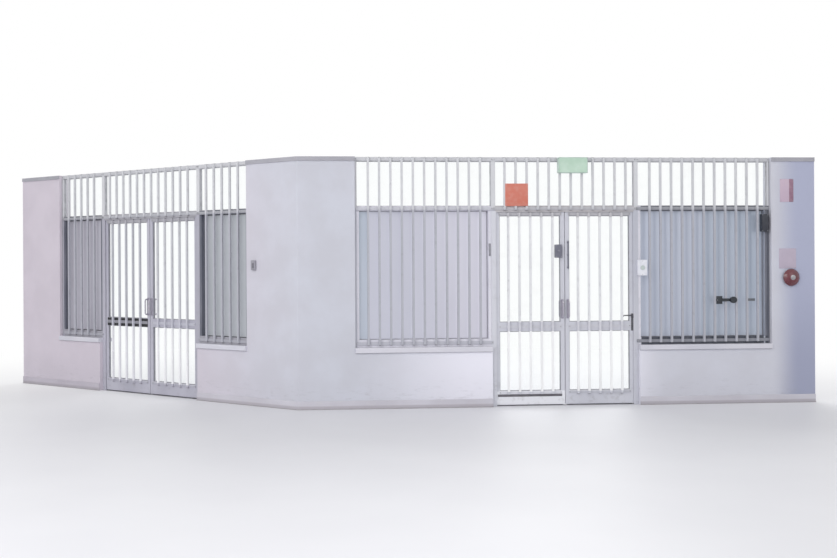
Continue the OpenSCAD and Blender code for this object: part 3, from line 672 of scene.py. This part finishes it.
def weld_bead(height):
    """A run of weld metal, upright at the origin, with tapered ends."""
    bead = round_blank(6, WELD_R, height)
    pick(bead, "faces", lambda at, way: abs(way.z) > FACING)
    push()
    bpy.ops.transform.resize(value=(0.4, 0.4, 1.08))
    return closed(bead)


def spread(master, places, turn=0.0):
    """Copies of a piece at each place, turned about the upright. The master is used up."""
    copies = []
    for place in places:
        copy = master.copy()
        copy.data = master.data.copy()
        copy.location = place
        copy.rotation_euler.z = turn
        bpy.context.collection.objects.link(copy)
        copies.append(copy)
    bpy.data.objects.remove(master)
    return copies


def screw_on(name, size, places, bay, body, turn=0.0):
    """Fits screws of one radius and height, turned about the upright."""
    fit(name, spread(plated_screw(*size), places, turn), zinc_plate, bay, body)


def grille_details(node, bay, body, finish):
    """Plugs in the tubes' ends, welds where they cross the carriers, and the carriers' screws."""
    dress(finish, node)
    grille_low, grille_high = corners(measure(node, bay))
    bars = islands(node, bay, (Y, grille_low.y))
    carriers = islands(node, bay, (Y, grille_high.y), (X, Z))
    carrier_y = grille_low.y + BAR_DEPTH
    middle_y = grille_low.y + BAR_DEPTH / 2
    ends = [((low.x + high.x) / 2, middle_y, z) for low, high in bars for z in (low.z, high.z + PLUG_T)]
    fit(node + "_plugs", spread(end_plug(), ends), plug_plastic, bay, body)
    places = [(x, carrier_y, (flat_low.z + flat_high.z) / 2)
              for flat_low, flat_high in carriers for low, high in bars for x in (low.x, high.x)
              if flat_low.x < x < flat_high.x and low.z - HAIR < flat_low.z and flat_high.z < high.z + HAIR]
    bead = weld_bead((carriers[0][1].z - carriers[0][0].z) * 0.8)
    fit(node + "_welds", spread(bead, places), finish, bay, body)
    heads = [(x, carrier_y, (low.z + high.z) / 2)
             for low, high in carriers for x in (low.x + SCREW_IN, high.x - SCREW_IN)]
    screw_on(node + "_screws", CARRIER_SCREW, heads, bay, body)


BAR_DEPTH, PLUG_T, WELD_R = 0.025, 0.003, 0.0035
CARRIER_SCREW, SCREW_IN = (0.006, 0.003), 0.014
BAY_CARRIER_Y = -0.056
# Bars in the windows, and bars paled with painted light above the transom height
BAR_SHADED, BAR_SUNLIT = (181, 182, 191), (211, 212, 216)
# Carrier tones of each bay, painted light and shade: dark before the dark-framed windows, grey by the doors,
# pale by the pale window and at the heads
HEAD_SHADE = (Z, 2.9, 3.1, (196, 196, 201))
BAY_SHADES = {
    "right": [(X, 0.0, 2.33, (200, 200, 210)), (X, 2.33, 4.1, (178, 176, 181)), (X, 4.1, 7.0, (88, 91, 102)),
              HEAD_SHADE],
    "left": [(X, -7.0, -3.46, (122, 122, 130)), (X, -3.46, -1.64, (168, 168, 175)),
             (X, -1.64, 0.0, (128, 129, 137)), (Z, 0.7, 0.85, (170, 169, 178)), HEAD_SHADE]}
zinc_plate = bloomed("zinc_plate", (176, 177, 182), (142, 142, 146), 1, 60, 0.32, (700, 3), 0.0001,
                     {"Metallic": 0.8})
plug_plastic = bloomed("plug_plastic", (88, 88, 94), *RUBBER_AGE)
for bay in TURNS:
    paint = bar_paint(f"bar_paint_{bay}", bay, BAY_CARRIER_Y, BAR_SHADED, SUNLIT_Z, BAR_SUNLIT,
                      BAY_SHADES[bay])
    grille_details(f"{bay}_bay_bars", bay, "front", paint)


# The hinges
# Three butt hinges of plated steel carry each leaf outside, where their knuckles stand clear of the post.
# Two countersunk screws hold each plate to the post and to the leaf.
def hinge_steel(bay):
    spot = new_material(f"hinge_steel_{bay}", TURNS[bay])
    bloom = ramp(noise(spot, 35, 5, 0.6), 0.42, 0.7)
    turning = noise(stretched(spot, 1, 1, 12), 60, 2)
    return surface(tint(bloom * 0.6, (178, 178, 184), (124, 122, 122)), 0.3 + 0.3 * bloom,
                   bumps(turning, 0.00015), {"Metallic": 0.75})


LEAVES = [(bay, side, f"{bay}_bay_{side}_leaf", f"{bay}_bay_{side}_door")
          for bay in TURNS for side in ("left", "right")]
HINGE_T, LEAF_PLATE_RISE = 0.003, 0.05 + HAIR / 3
HINGE_SCREW, SCREW_ROWS = (0.0042, 0.0016), (0.012, 0.038)
PIN_IN, POST_SCREW_IN, LEAF_SCREW_IN = 0.008, 0.012, 0.026
for bay in TURNS:
    dress(hinge_steel(bay), f"{bay}_bay_hinges")
for bay, side, leaf, body in LEAVES:
    outward = -1 if side == "left" else 1
    hinges = islands(f"{bay}_bay_hinges", bay, axes=(X, Z))
    middle = sum(low.x for low, high in hinges) / len(hinges)
    on_post, on_leaf = [], []
    for low, high in hinges:
        if (low.x - middle) * outward < 0:
            continue
        post_x, pin_x = (low.x, high.x - PIN_IN) if side == "left" else (high.x, low.x + PIN_IN)
        for row in SCREW_ROWS:
            on_post.append((post_x - outward * POST_SCREW_IN, low.y + HINGE_T, low.z + row))
            on_leaf.append((pin_x - outward * LEAF_SCREW_IN, low.y + HINGE_T, low.z + LEAF_PLATE_RISE + row))
    screw_on(f"{bay}_bay_{side}_hinge_screws", HINGE_SCREW, on_post, bay, "front", math.pi)
    screw_on(leaf + "_hinge_screws", HINGE_SCREW, on_leaf, bay, body, math.pi)

# The door leaves
# Each leaf is a welded frame of hollow aluminium sections under the same grey powder coat as the posts.
# Its two panes are bedded in gaskets, and a brush in a holder closes the gap under its foot.
LEAF_COATS = {"right": ((209, 210, 219), (200, 201, 211)), "left": ((191, 190, 202), (177, 176, 189))}
# The foot rail of the right bay's left leaf is paler with painted light
FOOT_PATCHES = {"right": [(2.3, 3.2186, 0.0, 0.178, (234, 235, 241))], "left": []}
LEAF_GRIME = 0.22
LEAF_ROOM_Y, LEAF_OUTER_Y, LEAF_FOOT_Z = -0.035, 0.01, 0.015
LEAF_MIDDLE_Y = (LEAF_ROOM_Y + LEAF_OUTER_Y) / 2
HOLDER_H, HOLDER_T, HOLDER_IN = 0.006, 0.014, 0.012
BRUSH_T, BRUSH_IN, BRUSH_FOOT_Z, MEETING_GAP = 0.009, 0.0156, 0.002, 0.003


def brush_fibres(bay):
    spot = new_material(f"brush_fibres_{bay}", TURNS[bay])
    strands = noise(stretched(spot, 1, 1, 0.05), 900, 2)
    return surface(tint(ramp(strands, 0.4, 0.62), (62, 61, 64), (34, 34, 37)), 0.85,
                   bumps(strands, 0.0015))


def bristles(low_x, low_z, high_x, high_z, axis, side, tip):
    """A brush in the middle of the leaf's depth, thinned to a share where it looks along an axis."""
    brush = blank((low_x, LEAF_MIDDLE_Y - BRUSH_T / 2, low_z), (high_x, LEAF_MIDDLE_Y + BRUSH_T / 2, high_z))
    pick_faces(brush, axis, side)
    bpy.ops.transform.resize(value=(1, tip, 1))
    return closed(brush)


leaf_coats = {bay: powder_coat(f"leaf_coat_{bay}", bay, *LEAF_COATS[bay], grime=LEAF_GRIME,
                               patches=FOOT_PATCHES[bay]) for bay in TURNS}
fibres = {bay: brush_fibres(bay) for bay in TURNS}
for bay, side, leaf, body in LEAVES:
    dress(leaf_coats[bay], leaf)
    dress(glass[bay], leaf + "_glass")
    panes = islands(leaf + "_glass", bay, axes=(Z,))
    fit(leaf + "_gaskets", gaskets(panes), grey_rubber, bay, body)
    low, high = corners(measure(leaf, bay, (Y, LEAF_ROOM_Y)))
    holder = blank((low.x + HOLDER_IN, LEAF_MIDDLE_Y - HOLDER_T / 2, LEAF_FOOT_Z - HOLDER_H),
                   (high.x - HOLDER_IN, LEAF_MIDDLE_Y + HOLDER_T / 2, LEAF_FOOT_Z))
    pick_faces(holder, Z, -1)
    bpy.ops.mesh.inset(thickness=(HOLDER_T - BRUSH_T) / 2)
    push(z=HOLDER_H * 0.5)
    fit(leaf + "_foot_holder", [soften(holder, HOLDER_H * 0.1)], leaf_coats[bay], bay, body)
    brush_top_z = LEAF_FOOT_Z - HOLDER_H * 0.5
    brushes = [bristles(low.x + BRUSH_IN, BRUSH_FOOT_Z, high.x - BRUSH_IN, brush_top_z, Z, -1, 0.5)]
    if side == "left":
        brushes += [bristles(high.x, low.z + HOLDER_IN, high.x + MEETING_GAP, high.z - HOLDER_IN, X, 1, 0.4)]
    fit(leaf + "_brushes", brushes, fibres[bay], bay, body)

# The leaves' bars
# A lighter grille of the same tubes is screwed to the room side of each leaf, over its glass.
# Scuffed carriers, two ribbed strips on one mid rail and a kick strip take the knocks of trolleys.
# Painted light makes the bars near white over the bright glass, and the carriers' tones are painted light and
# shade, but for the black mid carrier of the left bay's left leaf.
LEAF_CARRIER_Y = -0.041
MID_Z = 0.955
# The top carriers are darker with painted shade
CARRIER_TOP = (Z, 2.25, 2.4, (174, 173, 180))
CARRIER_FOOT_Z, CARRIER_MID_Z = (0.0, 0.2), (0.85, 1.0)
# Colours of each leaf's carriers at the foot and the middle, and of its bars below and above the middle:
# painted light and shade, but for the black mid carrier of the left bay's left leaf
LEAF_TONES = {
    "right_bay_left_leaf": ((226, 226, 233), (200, 200, 208), (253, 253, 254), (232, 233, 236)),
    "right_bay_right_leaf": ((178, 178, 188), (200, 200, 208), (253, 253, 254), (234, 235, 238)),
    "left_bay_left_leaf": ((170, 169, 180), (62, 60, 66), (238, 238, 243), (190, 191, 199)),
    "left_bay_right_leaf": ((170, 169, 180), (190, 189, 200), (250, 250, 252), (208, 209, 214))}
# Greys of the bars where they cross the leaf's rails, darker than the bars' painted light over the glass
CROSSING_Z = ((-0.1, 0.172), (0.9, 1.01), (2.272, 2.5))
CROSSING_TONES = {"right": ((208, 209, 218), (216, 216, 224), (198, 197, 201)),
                  "left": ((190, 189, 201), (199, 199, 210), (180, 179, 186))}
for bay, side, leaf, body in LEAVES:
    foot, middle, low_bars, high_bars = LEAF_TONES[leaf]
    shades = [CARRIER_TOP, (Z, *CARRIER_FOOT_Z, foot), (Z, *CARRIER_MID_Z, middle)]
    crossings = [(*limits, tone) for limits, tone in zip(CROSSING_Z, CROSSING_TONES[bay])]
    paint = bar_paint(f"bar_paint_{leaf}", bay, LEAF_CARRIER_Y, low_bars, MID_Z, high_bars, shades, crossings)
    grille_details(leaf + "_bars", bay, body, paint)

STRIP_LEAF, STRIP_T = "left_bay_left_leaf", 0.003
STRIP_GAP, BELOW_CARRIER, ABOVE_CARRIER = 0.002, 0.036, 0.034
STRIP_RIBS, STRIP_LEDGE, STRIP_SUNK = 8, 0.0008, 0.001


def ribbed(low, high, across, ribs, axis, side, ledge, sunk):
    """A strip with narrow ledges and sunk bands across an axis, on the face that looks along another."""
    strip = blank(low, high)
    pick(strip, "edges", lambda at, way: abs(way[across]) > FACING)
    bpy.ops.mesh.subdivide(number_cuts=ribs - 1)
    pick_faces(strip, axis, side)
    bpy.ops.mesh.inset(thickness=ledge, use_individual=True)
    bpy.ops.mesh.extrude_region_shrink_fatten(TRANSFORM_OT_shrink_fatten={"value": -sunk})
    return closed(strip)


low, high = islands(STRIP_LEAF + "_bars", "left", (Y, LEAF_ROOM_Y), (X, Z))[1]
strips = [ribbed((low.x, LEAF_ROOM_Y - STRIP_T, low_z), (high.x, LEAF_ROOM_Y, high_z), Z, STRIP_RIBS, Y, -1,
                 STRIP_LEDGE, STRIP_SUNK)
          for low_z, high_z in ((low.z - BELOW_CARRIER, low.z - STRIP_GAP),
                                (high.z + STRIP_GAP, high.z + ABOVE_CARRIER))]
fit(STRIP_LEAF + "_strips", strips, black_rubber, "left", "left_bay_left_door")

LOCK_LEAF = "right_bay_left_leaf"
KICK_OVER, KICK_H, KICK_RIM, KICK_RISE = 0.016, 0.029, 0.004, 0.0015
low, high = corners(measure(LOCK_LEAF + "_bars", "right", (Y, LEAF_ROOM_Y)))
kick = blank((low.x - KICK_OVER, LEAF_ROOM_Y - STRIP_T, low.z - STRIP_GAP - KICK_H),
             (high.x, LEAF_ROOM_Y, low.z - STRIP_GAP))
pick_faces(kick, Y, -1)
bpy.ops.mesh.inset(thickness=KICK_RIM)
bpy.ops.transform.translate(value=(0, -KICK_RISE, 0))
fit(LOCK_LEAF + "_kick_strip", [soften(kick, KICK_RISE * 0.4)],
    bloomed("kick_rubber", (104, 102, 108), *RUBBER_AGE), body="right_bay_left_door")


# The thresholds
# A ribbed aluminium strip is screwed to the floor in each doorway, under the brushes.
# It is left as it comes from the mill, and feet have dulled it.
def mill_metal(bay):
    spot = new_material(f"mill_metal_{bay}", TURNS[bay])
    tread = ramp(noise(stretched(spot, 1, 3, 1), 5, 5, 0.65), 0.4, 0.65)
    return surface(tint(tread * 0.6, (184, 184, 190), (128, 125, 126)), 0.34 + 0.3 * tread,
                   bumps(noise(stretched(spot, 0.05, 1, 1), 500, 2), 0.0002), {"Metallic": 0.7})


THRESHOLD_T, THRESHOLD_HALF, THRESHOLD_OVER, RIBS = 0.0035, 0.044, 0.012, 9
for bay in TURNS:
    posts = islands(f"{bay}_bay_posts", bay)
    strip = ribbed((posts[1][1].x - THRESHOLD_OVER, -THRESHOLD_HALF, 0),
                   (posts[2][0].x + THRESHOLD_OVER, THRESHOLD_HALF, THRESHOLD_T),
                   Y, RIBS, Z, 1, THRESHOLD_HALF / RIBS * 0.35, THRESHOLD_T * 0.35)
    fit(f"{bay}_bay_threshold", [strip], mill_metal(bay), bay)


# The pull handles, the lock and the bolts
# A bent grip on a screwed plate pulls each leaf from either side. The right doors have a rim lock and a bolt.
# They are zinc castings under violet-grey lacquer, rubbed pale where hands hold the grips.
def lacquer(bay, shades):
    """Violet-grey lacquer, with a darker colour above each height of a list."""
    spot = new_material(f"handle_lacquer_{bay}", TURNS[bay])
    _, depth, height = parts_of(spot)
    grip = (1 - ramp(depth, -0.085, -0.07)) + ramp(depth, 0.045, 0.06)
    worn = grip * ramp(noise(spot, 40, 5, 0.6), 0.42, 0.62)
    colour = tint(ramp(noise(spot, 22, 4), 0.4, 0.65), (172, 168, 182), (156, 152, 166))
    for from_z, dark in shades:
        colour = tint(ramp(height, from_z - HAIR, from_z + HAIR), colour, dark)
    return surface(tint(worn * 0.7, colour, (204, 201, 208)), 0.36 - 0.12 * worn,
                   bumps(noise(spot, 500, 3), 0.0001), {"Metallic": 0.35})


def hardware(leaf, bay, upper):
    """Corners of a leaf's grips, or of the lock or bolt above them."""
    faces = measure(leaf + "_handles", bay)
    return corners([face for face in faces if (min(point.z for point in face) > LOCK_Z) == upper])


def corner_places(low, high, y, in_x, in_z):
    """A place at each corner of an upright plate, in from its edges."""
    return [(x, y, z) for x in (low.x + in_x, high.x - in_x) for z in (low.z + in_z, high.z - in_z)]


HANDLE_Z, LOCK_Z = 1.1675, 1.5
PLATE_SCREW, PLATE_ROWS, PLATE_T = (0.0045, 0.002), (-0.03, 0.03), 0.004
lacquers = {"right": lacquer("right", [(LOCK_Z, (118, 119, 132))]), "left": lacquer("left", [])}
for bay, side, leaf, body in LEAVES:
    dress(lacquers[bay], leaf + "_handles")
    low, high = hardware(leaf, bay, False)
    screws = []
    for face_y, turn in ((LEAF_ROOM_Y - PLATE_T, 0.0), (LEAF_OUTER_Y + PLATE_T, math.pi)):
        places = [((low.x + high.x) / 2, face_y, HANDLE_Z + row) for row in PLATE_ROWS]
        screws += spread(plated_screw(*PLATE_SCREW), places, turn)
    fit(leaf + "_plate_screws", screws, zinc_plate, bay, body)

BOLT_LEAF = "right_bay_right_leaf"
CASE_Y = LEAF_ROOM_Y - 0.03
CASE_SCREW_IN = (0.012, 0.014)
low, high = hardware(LOCK_LEAF, "right", True)
screw_on(LOCK_LEAF + "_lock_screws", PLATE_SCREW, corner_places(low, high, CASE_Y, *CASE_SCREW_IN), "right",
         "right_bay_left_door")

ROSE_R, ROSE_T, KEY_ASIDE = 0.017, 0.004, 0.014
SLOT_SHARE = 0.22
middle = (low + high) / 2
rose = round_blank(40, ROSE_R, ROSE_T, (middle.x + KEY_ASIDE, LEAF_OUTER_Y + ROSE_T / 2, middle.z),
                   (QUARTER, 0, 0))
pick_faces(rose, Y, 1)
bpy.ops.mesh.inset(thickness=ROSE_R * 0.2)
bpy.ops.mesh.inset(thickness=ROSE_R * 0.28)
push(y=ROSE_T * 0.5)
bpy.ops.mesh.inset(thickness=ROSE_R * 0.16)
bpy.ops.transform.resize(value=(SLOT_SHARE, 1, 1))
push(y=-ROSE_T * 0.8)
fit(LOCK_LEAF + "_key_rose", [soften(rose, ROSE_T * 0.1)], lacquers["right"],
    body="right_bay_left_door")

GUIDE_H, GUIDE_OUT, GUIDE_T = 0.016, 0.006, 0.002
GUIDE_SHARES = (0.06, 0.5, 0.94)
low, high = hardware(BOLT_LEAF, "right", True)
guides = []
for share in GUIDE_SHARES:
    z = low.z + share * (high.z - low.z)
    guide = blank((low.x - GUIDE_OUT, LEAF_ROOM_Y - GUIDE_T, z - GUIDE_H / 2),
                  (high.x + GUIDE_OUT, LEAF_ROOM_Y, z + GUIDE_H / 2))
    pick_faces(guide, Y, -1)
    bpy.ops.mesh.inset(thickness=GUIDE_T)
    push(y=low.y - LEAF_ROOM_Y)
    guides.append(soften(guide, GUIDE_T * 0.3))
fit(BOLT_LEAF + "_bolt_guides", guides, lacquers["right"], body="right_bay_right_door")


# The door hook and the window latch
# An iron hook that holds the right leaf open is screwed to its stile.
# A small grey latch with a lever is screwed to the side of the left window's frame.
def enamel(name, colour, aged, rough=0.35, cloud=18, bay="right"):
    """Plain paint or plastic that has yellowed or dusted in clouds."""
    spot = new_material(name, TURNS[bay])
    age = ramp(noise(spot, cloud, 4), 0.38, 0.68)
    touched = ramp(noise(spot, cloud * 2.3, 5, 0.65), 0.5, 0.7)
    return surface(tint(age, colour, aged), rough + 0.2 * touched, bumps(noise(spot, 380, 2), 0.00012),
                   {"Coat Weight": 0.15, "Coat Roughness": 0.2})


def panel(low, high, rim, rise):
    """A plate with a raised or sunk field inside its rim, towards the room."""
    plate = blank(low, high)
    pick_faces(plate, Y, -1)
    bpy.ops.mesh.inset(thickness=rim)
    bpy.ops.mesh.inset(thickness=abs(rise))
    bpy.ops.transform.translate(value=(0, -rise, 0))
    return soften(plate, abs(rise) * 0.4)


HOOK_Z, HOOK_PAST_BAR = 1.08, 0.0235
# Corners from the hook's pivot
HOOK_PLATE = (Vector((-0.018, -0.005, -0.185)), Vector((0.018, 0, 0.022)))
HOOK_EYE = (Vector((-0.01, -0.016, -0.03)), Vector((0.01, -0.004, 0.018)))
ARM_R, ARM_LENGTH, ARM_MIDDLE = 0.007, 0.11, Vector((-0.05, -0.0125, 0))
hook_x = islands(BOLT_LEAF + "_bars", "right")[-1][1].x + HOOK_PAST_BAR
pivot = Vector((hook_x, LEAF_ROOM_Y, HOOK_Z))
hook_plate = panel(pivot + HOOK_PLATE[0], pivot + HOOK_PLATE[1], 0.005, 0.001)
hook_eye = blank(pivot + HOOK_EYE[0], pivot + HOOK_EYE[1])
pick_faces(hook_eye, Z, 1)
bpy.ops.transform.resize(value=(0.7, 0.7, 1))
soften(hook_eye, 0.002)
hook_arm = round_blank(16, ARM_R, ARM_LENGTH, pivot + ARM_MIDDLE, (0, QUARTER, 0))
pick_faces(hook_arm, X, -1)
push(-0.012, -0.002, -0.002)
push(-0.006, -0.006, -0.004)
push(0.004, -0.006, -0.006)
bpy.ops.transform.resize(value=(0.7, 0.7, 0.7))
soften(hook_arm, 0.0012)
fit(BOLT_LEAF + "_hook", [hook_plate, hook_eye, hook_arm],
    enamel("hook_iron", (78, 78, 86), (96, 95, 102), 0.45), body="right_bay_right_door")

LATCH_IN, LATCH_Z = 0.018, 1.81
# Corners from the latch's foot
LATCH = (Vector((-0.011, -0.009, 0)), Vector((0.011, 0, 0.15)))
LEVER = (Vector((-0.005, -0.0112, 0.02)), Vector((0.005, -0.008, 0.09)))
low, high = islands("right_bay_window_frames", "right")[0]
foot = Vector((high.x - LATCH_IN, low.y, LATCH_Z))
latch = panel(foot + LATCH[0], foot + LATCH[1], 0.003, 0.0015)
lever = panel(foot + LEVER[0], foot + LEVER[1], 0.002, 0.0005)
fit("right_bay_window_latch", [latch, lever],
    enamel("latch_grey", (138, 138, 147), (150, 150, 158), 0.4))

# The fixtures
# Plastic and enamelled boxes are screwed to the piers, the posts and the bars of the grilles.
# The exit light has a translucent green face, and the round bell is red enamel on a black base.
FIXTURE_SCREW = (0.004, 0.002)
FACE_RIM, FACE_T, FACE_SCREW_IN = 0.009, 0.004, 0.0045
EXIT_GLOW = 0.18


def fixing(node, places, bay="right"):
    """Small screws on a fixture that belongs to the front."""
    screw_on(node + "_screws", FIXTURE_SCREW, places, bay, "front")


spot = new_material("exit_face")
cloud = ramp(noise(spot, 7, 3), 0.35, 0.7)
colour = tint(cloud, (172, 198, 180), (186, 207, 193))
exit_face = surface(colour, 0.3 + 0.15 * cloud, bumps(noise(spot, 260, 2), 0.0002),
                    {"Emission Color": colour, "Emission Strength": EXIT_GLOW})
dress(enamel("exit_case", (186, 206, 196), (174, 194, 185)), "exit_light")
low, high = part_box("exit_light")
face = panel((low.x + FACE_RIM, low.y - FACE_T, low.z + FACE_RIM),
             (high.x - FACE_RIM, low.y, high.z - FACE_RIM), 0.006, -0.0015)
fit("exit_light_face", [face], exit_face)
fixing("exit_light", corner_places(low, high, low.y, FACE_SCREW_IN, FACE_SCREW_IN))

BELL_BASE_Y, BELL_NUT_Y = -0.124, -0.1665
spot = new_material("bell_enamel")
depth = parts_of(spot)[Y]
age = ramp(noise(spot, 16, 4), 0.38, 0.68)
base = ramp(depth, BELL_BASE_Y - HAIR, BELL_BASE_Y + HAIR)
nut = 1 - ramp(depth, BELL_NUT_Y - HAIR, BELL_NUT_Y + HAIR)
bell = tint(base, tint(age, (108, 45, 56), (94, 41, 51)), (52, 48, 52))
dress(surface(tint(nut, bell, (168, 166, 170)), 0.2 + 0.25 * age, bumps(noise(spot, 120, 3), 0.0002),
              {"Metallic": nut * 0.7, "Coat Weight": 0.4, "Coat Roughness": 0.12}), "call_point")

BOARD_T = 0.003


def bare_board(name, xs, zs, back_y, rim, rise, screw_in, finish):
    """A thin board or plate on the wall or the bars, with a screw at each corner."""
    low, high = Vector((xs[0], back_y - BOARD_T, zs[0])), Vector((xs[1], back_y, zs[1]))
    fit(name, [panel(low, high, rim, rise)], finish)
    fixing(name, corner_places(low, high, low.y, screw_in, screw_in))


bare_board("bell_board", (5.885, 6.1), (1.64, 1.885), WALL_Y, 0.004, 0.0006, 0.011,
           enamel("board_paint", (194, 182, 199), (186, 175, 192), 0.4, 5))

ROCKER_HALF, ROCKER_T, ROCKER_H, ROCKER_RISES = 0.016, 0.003, 0.03, (0.024, 0.056)
SWITCH_SCREW_IN = 0.012
(low, high), = islands("door_switch", "left")
dress(enamel("switch_plastic", (158, 157, 166), (148, 147, 156), bay="left"), "door_switch")
x = (low.x + high.x) / 2
rockers = [panel((x - ROCKER_HALF, low.y - ROCKER_T, low.z + rise),
                 (x + ROCKER_HALF, low.y, low.z + rise + ROCKER_H), 0.003, 0.0012) for rise in ROCKER_RISES]
fit("door_switch_rockers", rockers,
    enamel("rocker_plastic", (112, 111, 120), (122, 121, 129), bay="left"), "left")
fixing("door_switch", [(x, low.y, z) for z in (low.z + SWITCH_SCREW_IN, high.z - SWITCH_SCREW_IN)], "left")

RELEASE_RIM_T, RELEASE_SCREW_IN = 0.008, 0.014
low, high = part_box("door_release")
face_y = low.y + RELEASE_RIM_T
spot = new_material("release_plastic")
button = 1 - ramp(parts_of(spot)[Y], face_y - HAIR, face_y)
age = ramp(noise(spot, 18, 4), 0.38, 0.68)
colour = tint(button, tint(age, (238, 239, 246), (226, 227, 236)), (196, 206, 204))
dress(surface(colour, 0.3 + 0.2 * age, bumps(noise(spot, 380, 2), 0.00012),
              {"Coat Weight": 0.2, "Coat Roughness": 0.15}), "door_release")
fixing("door_release", [((low.x + high.x) / 2, face_y, z)
                        for z in (low.z + RELEASE_SCREW_IN, high.z - RELEASE_SCREW_IN)])

BOLT_PLATE_T, BOLT_SCREW_IN = 0.01, 0.012
BOLT_BLACK = ((34, 39, 47), (48, 52, 59), 0.42)
CASE_X, CASE_T, CASE_OVER, CASE_UNDER = (0.002, 0.076), 0.007, 0.007, 0.009
KEEPER_X, KEEPER_T, KEEPER_IN = (0.155, 0.24), 0.006, 0.024
dress(enamel("bolt_black", *BOLT_BLACK), "window_bolt")
low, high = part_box("window_bolt")
fixing("window_bolt", [(x, high.y - BOLT_PLATE_T, (low.z + high.z) / 2)
                       for x in (low.x + BOLT_SCREW_IN, high.x - BOLT_SCREW_IN)])
case = panel((low.x + CASE_X[0], high.y - CASE_T, low.z - CASE_UNDER),
             (low.x + CASE_X[1], high.y, high.z + CASE_OVER), 0.006, 0.0015)
fit("window_bolt_case", [case], enamel("case_black", *BOLT_BLACK))
keeper = panel((high.x + KEEPER_X[0], high.y - KEEPER_T, low.z + KEEPER_IN),
               (high.x + KEEPER_X[1], high.y, high.z - KEEPER_IN), 0.004, -0.002)
fit("window_bolt_keeper", [keeper], enamel("keeper_grey", (96, 100, 108), (112, 115, 122), 0.42))

LID_IN, LID_T, LID_SCREW_IN = 0.004, 0.003, 0.01
dress(enamel("junction_plastic", (42, 47, 60), (56, 59, 70), 0.5), "junction_box")
low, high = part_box("junction_box")
lid = panel((low.x + LID_IN, low.y - LID_T, low.z + LID_IN), (high.x - LID_IN, low.y, high.z - LID_IN),
            0.012, 0.0015)
fit("junction_box_lid", [lid], enamel("lid_plastic", (37, 41, 53), (50, 53, 63), 0.42))
fixing("junction_box", corner_places(low, high, low.y - LID_T, LID_SCREW_IN, LID_SCREW_IN))

# The bare plates
# An orange-red enamelled plate hangs on the bars over the right doors, and a small one in pink and plum
# is screwed to the pier. Both are thin sheet with a pressed field.
BARS_Y = corners(measure("right_bay_bars", "right"))[0].y


def plate_enamel(name, colour, edge=None):
    """Enamel of one colour, or with a second one from a value along x, given as that value and the colour."""
    spot = new_material(name)
    age = ramp(noise(spot, 20, 4), 0.4, 0.7)
    if edge:
        colour = tint(ramp(parts_of(spot)[X], edge[0] - HAIR, edge[0] + HAIR), colour, edge[1])
    return surface(tint(age * 0.14, colour, (214, 196, 192)), 0.3 + 0.2 * age,
                   bumps(noise(spot, 300, 2), 0.0001), {"Coat Weight": 0.3, "Coat Roughness": 0.15})


bare_board("transom_plate", (2.475, 2.755), (2.41, 2.68), BARS_Y, 0.006, 0.0008, 0.013,
           plate_enamel("plate_enamel", (208, 118, 99)))
bare_board("pier_plate", (5.9, 6.07), (2.455, 2.735), WALL_Y, 0.004, 0.0006, 0.01,
           plate_enamel("pier_plate_enamel", (198, 177, 196), (6.015, (146, 108, 130))))
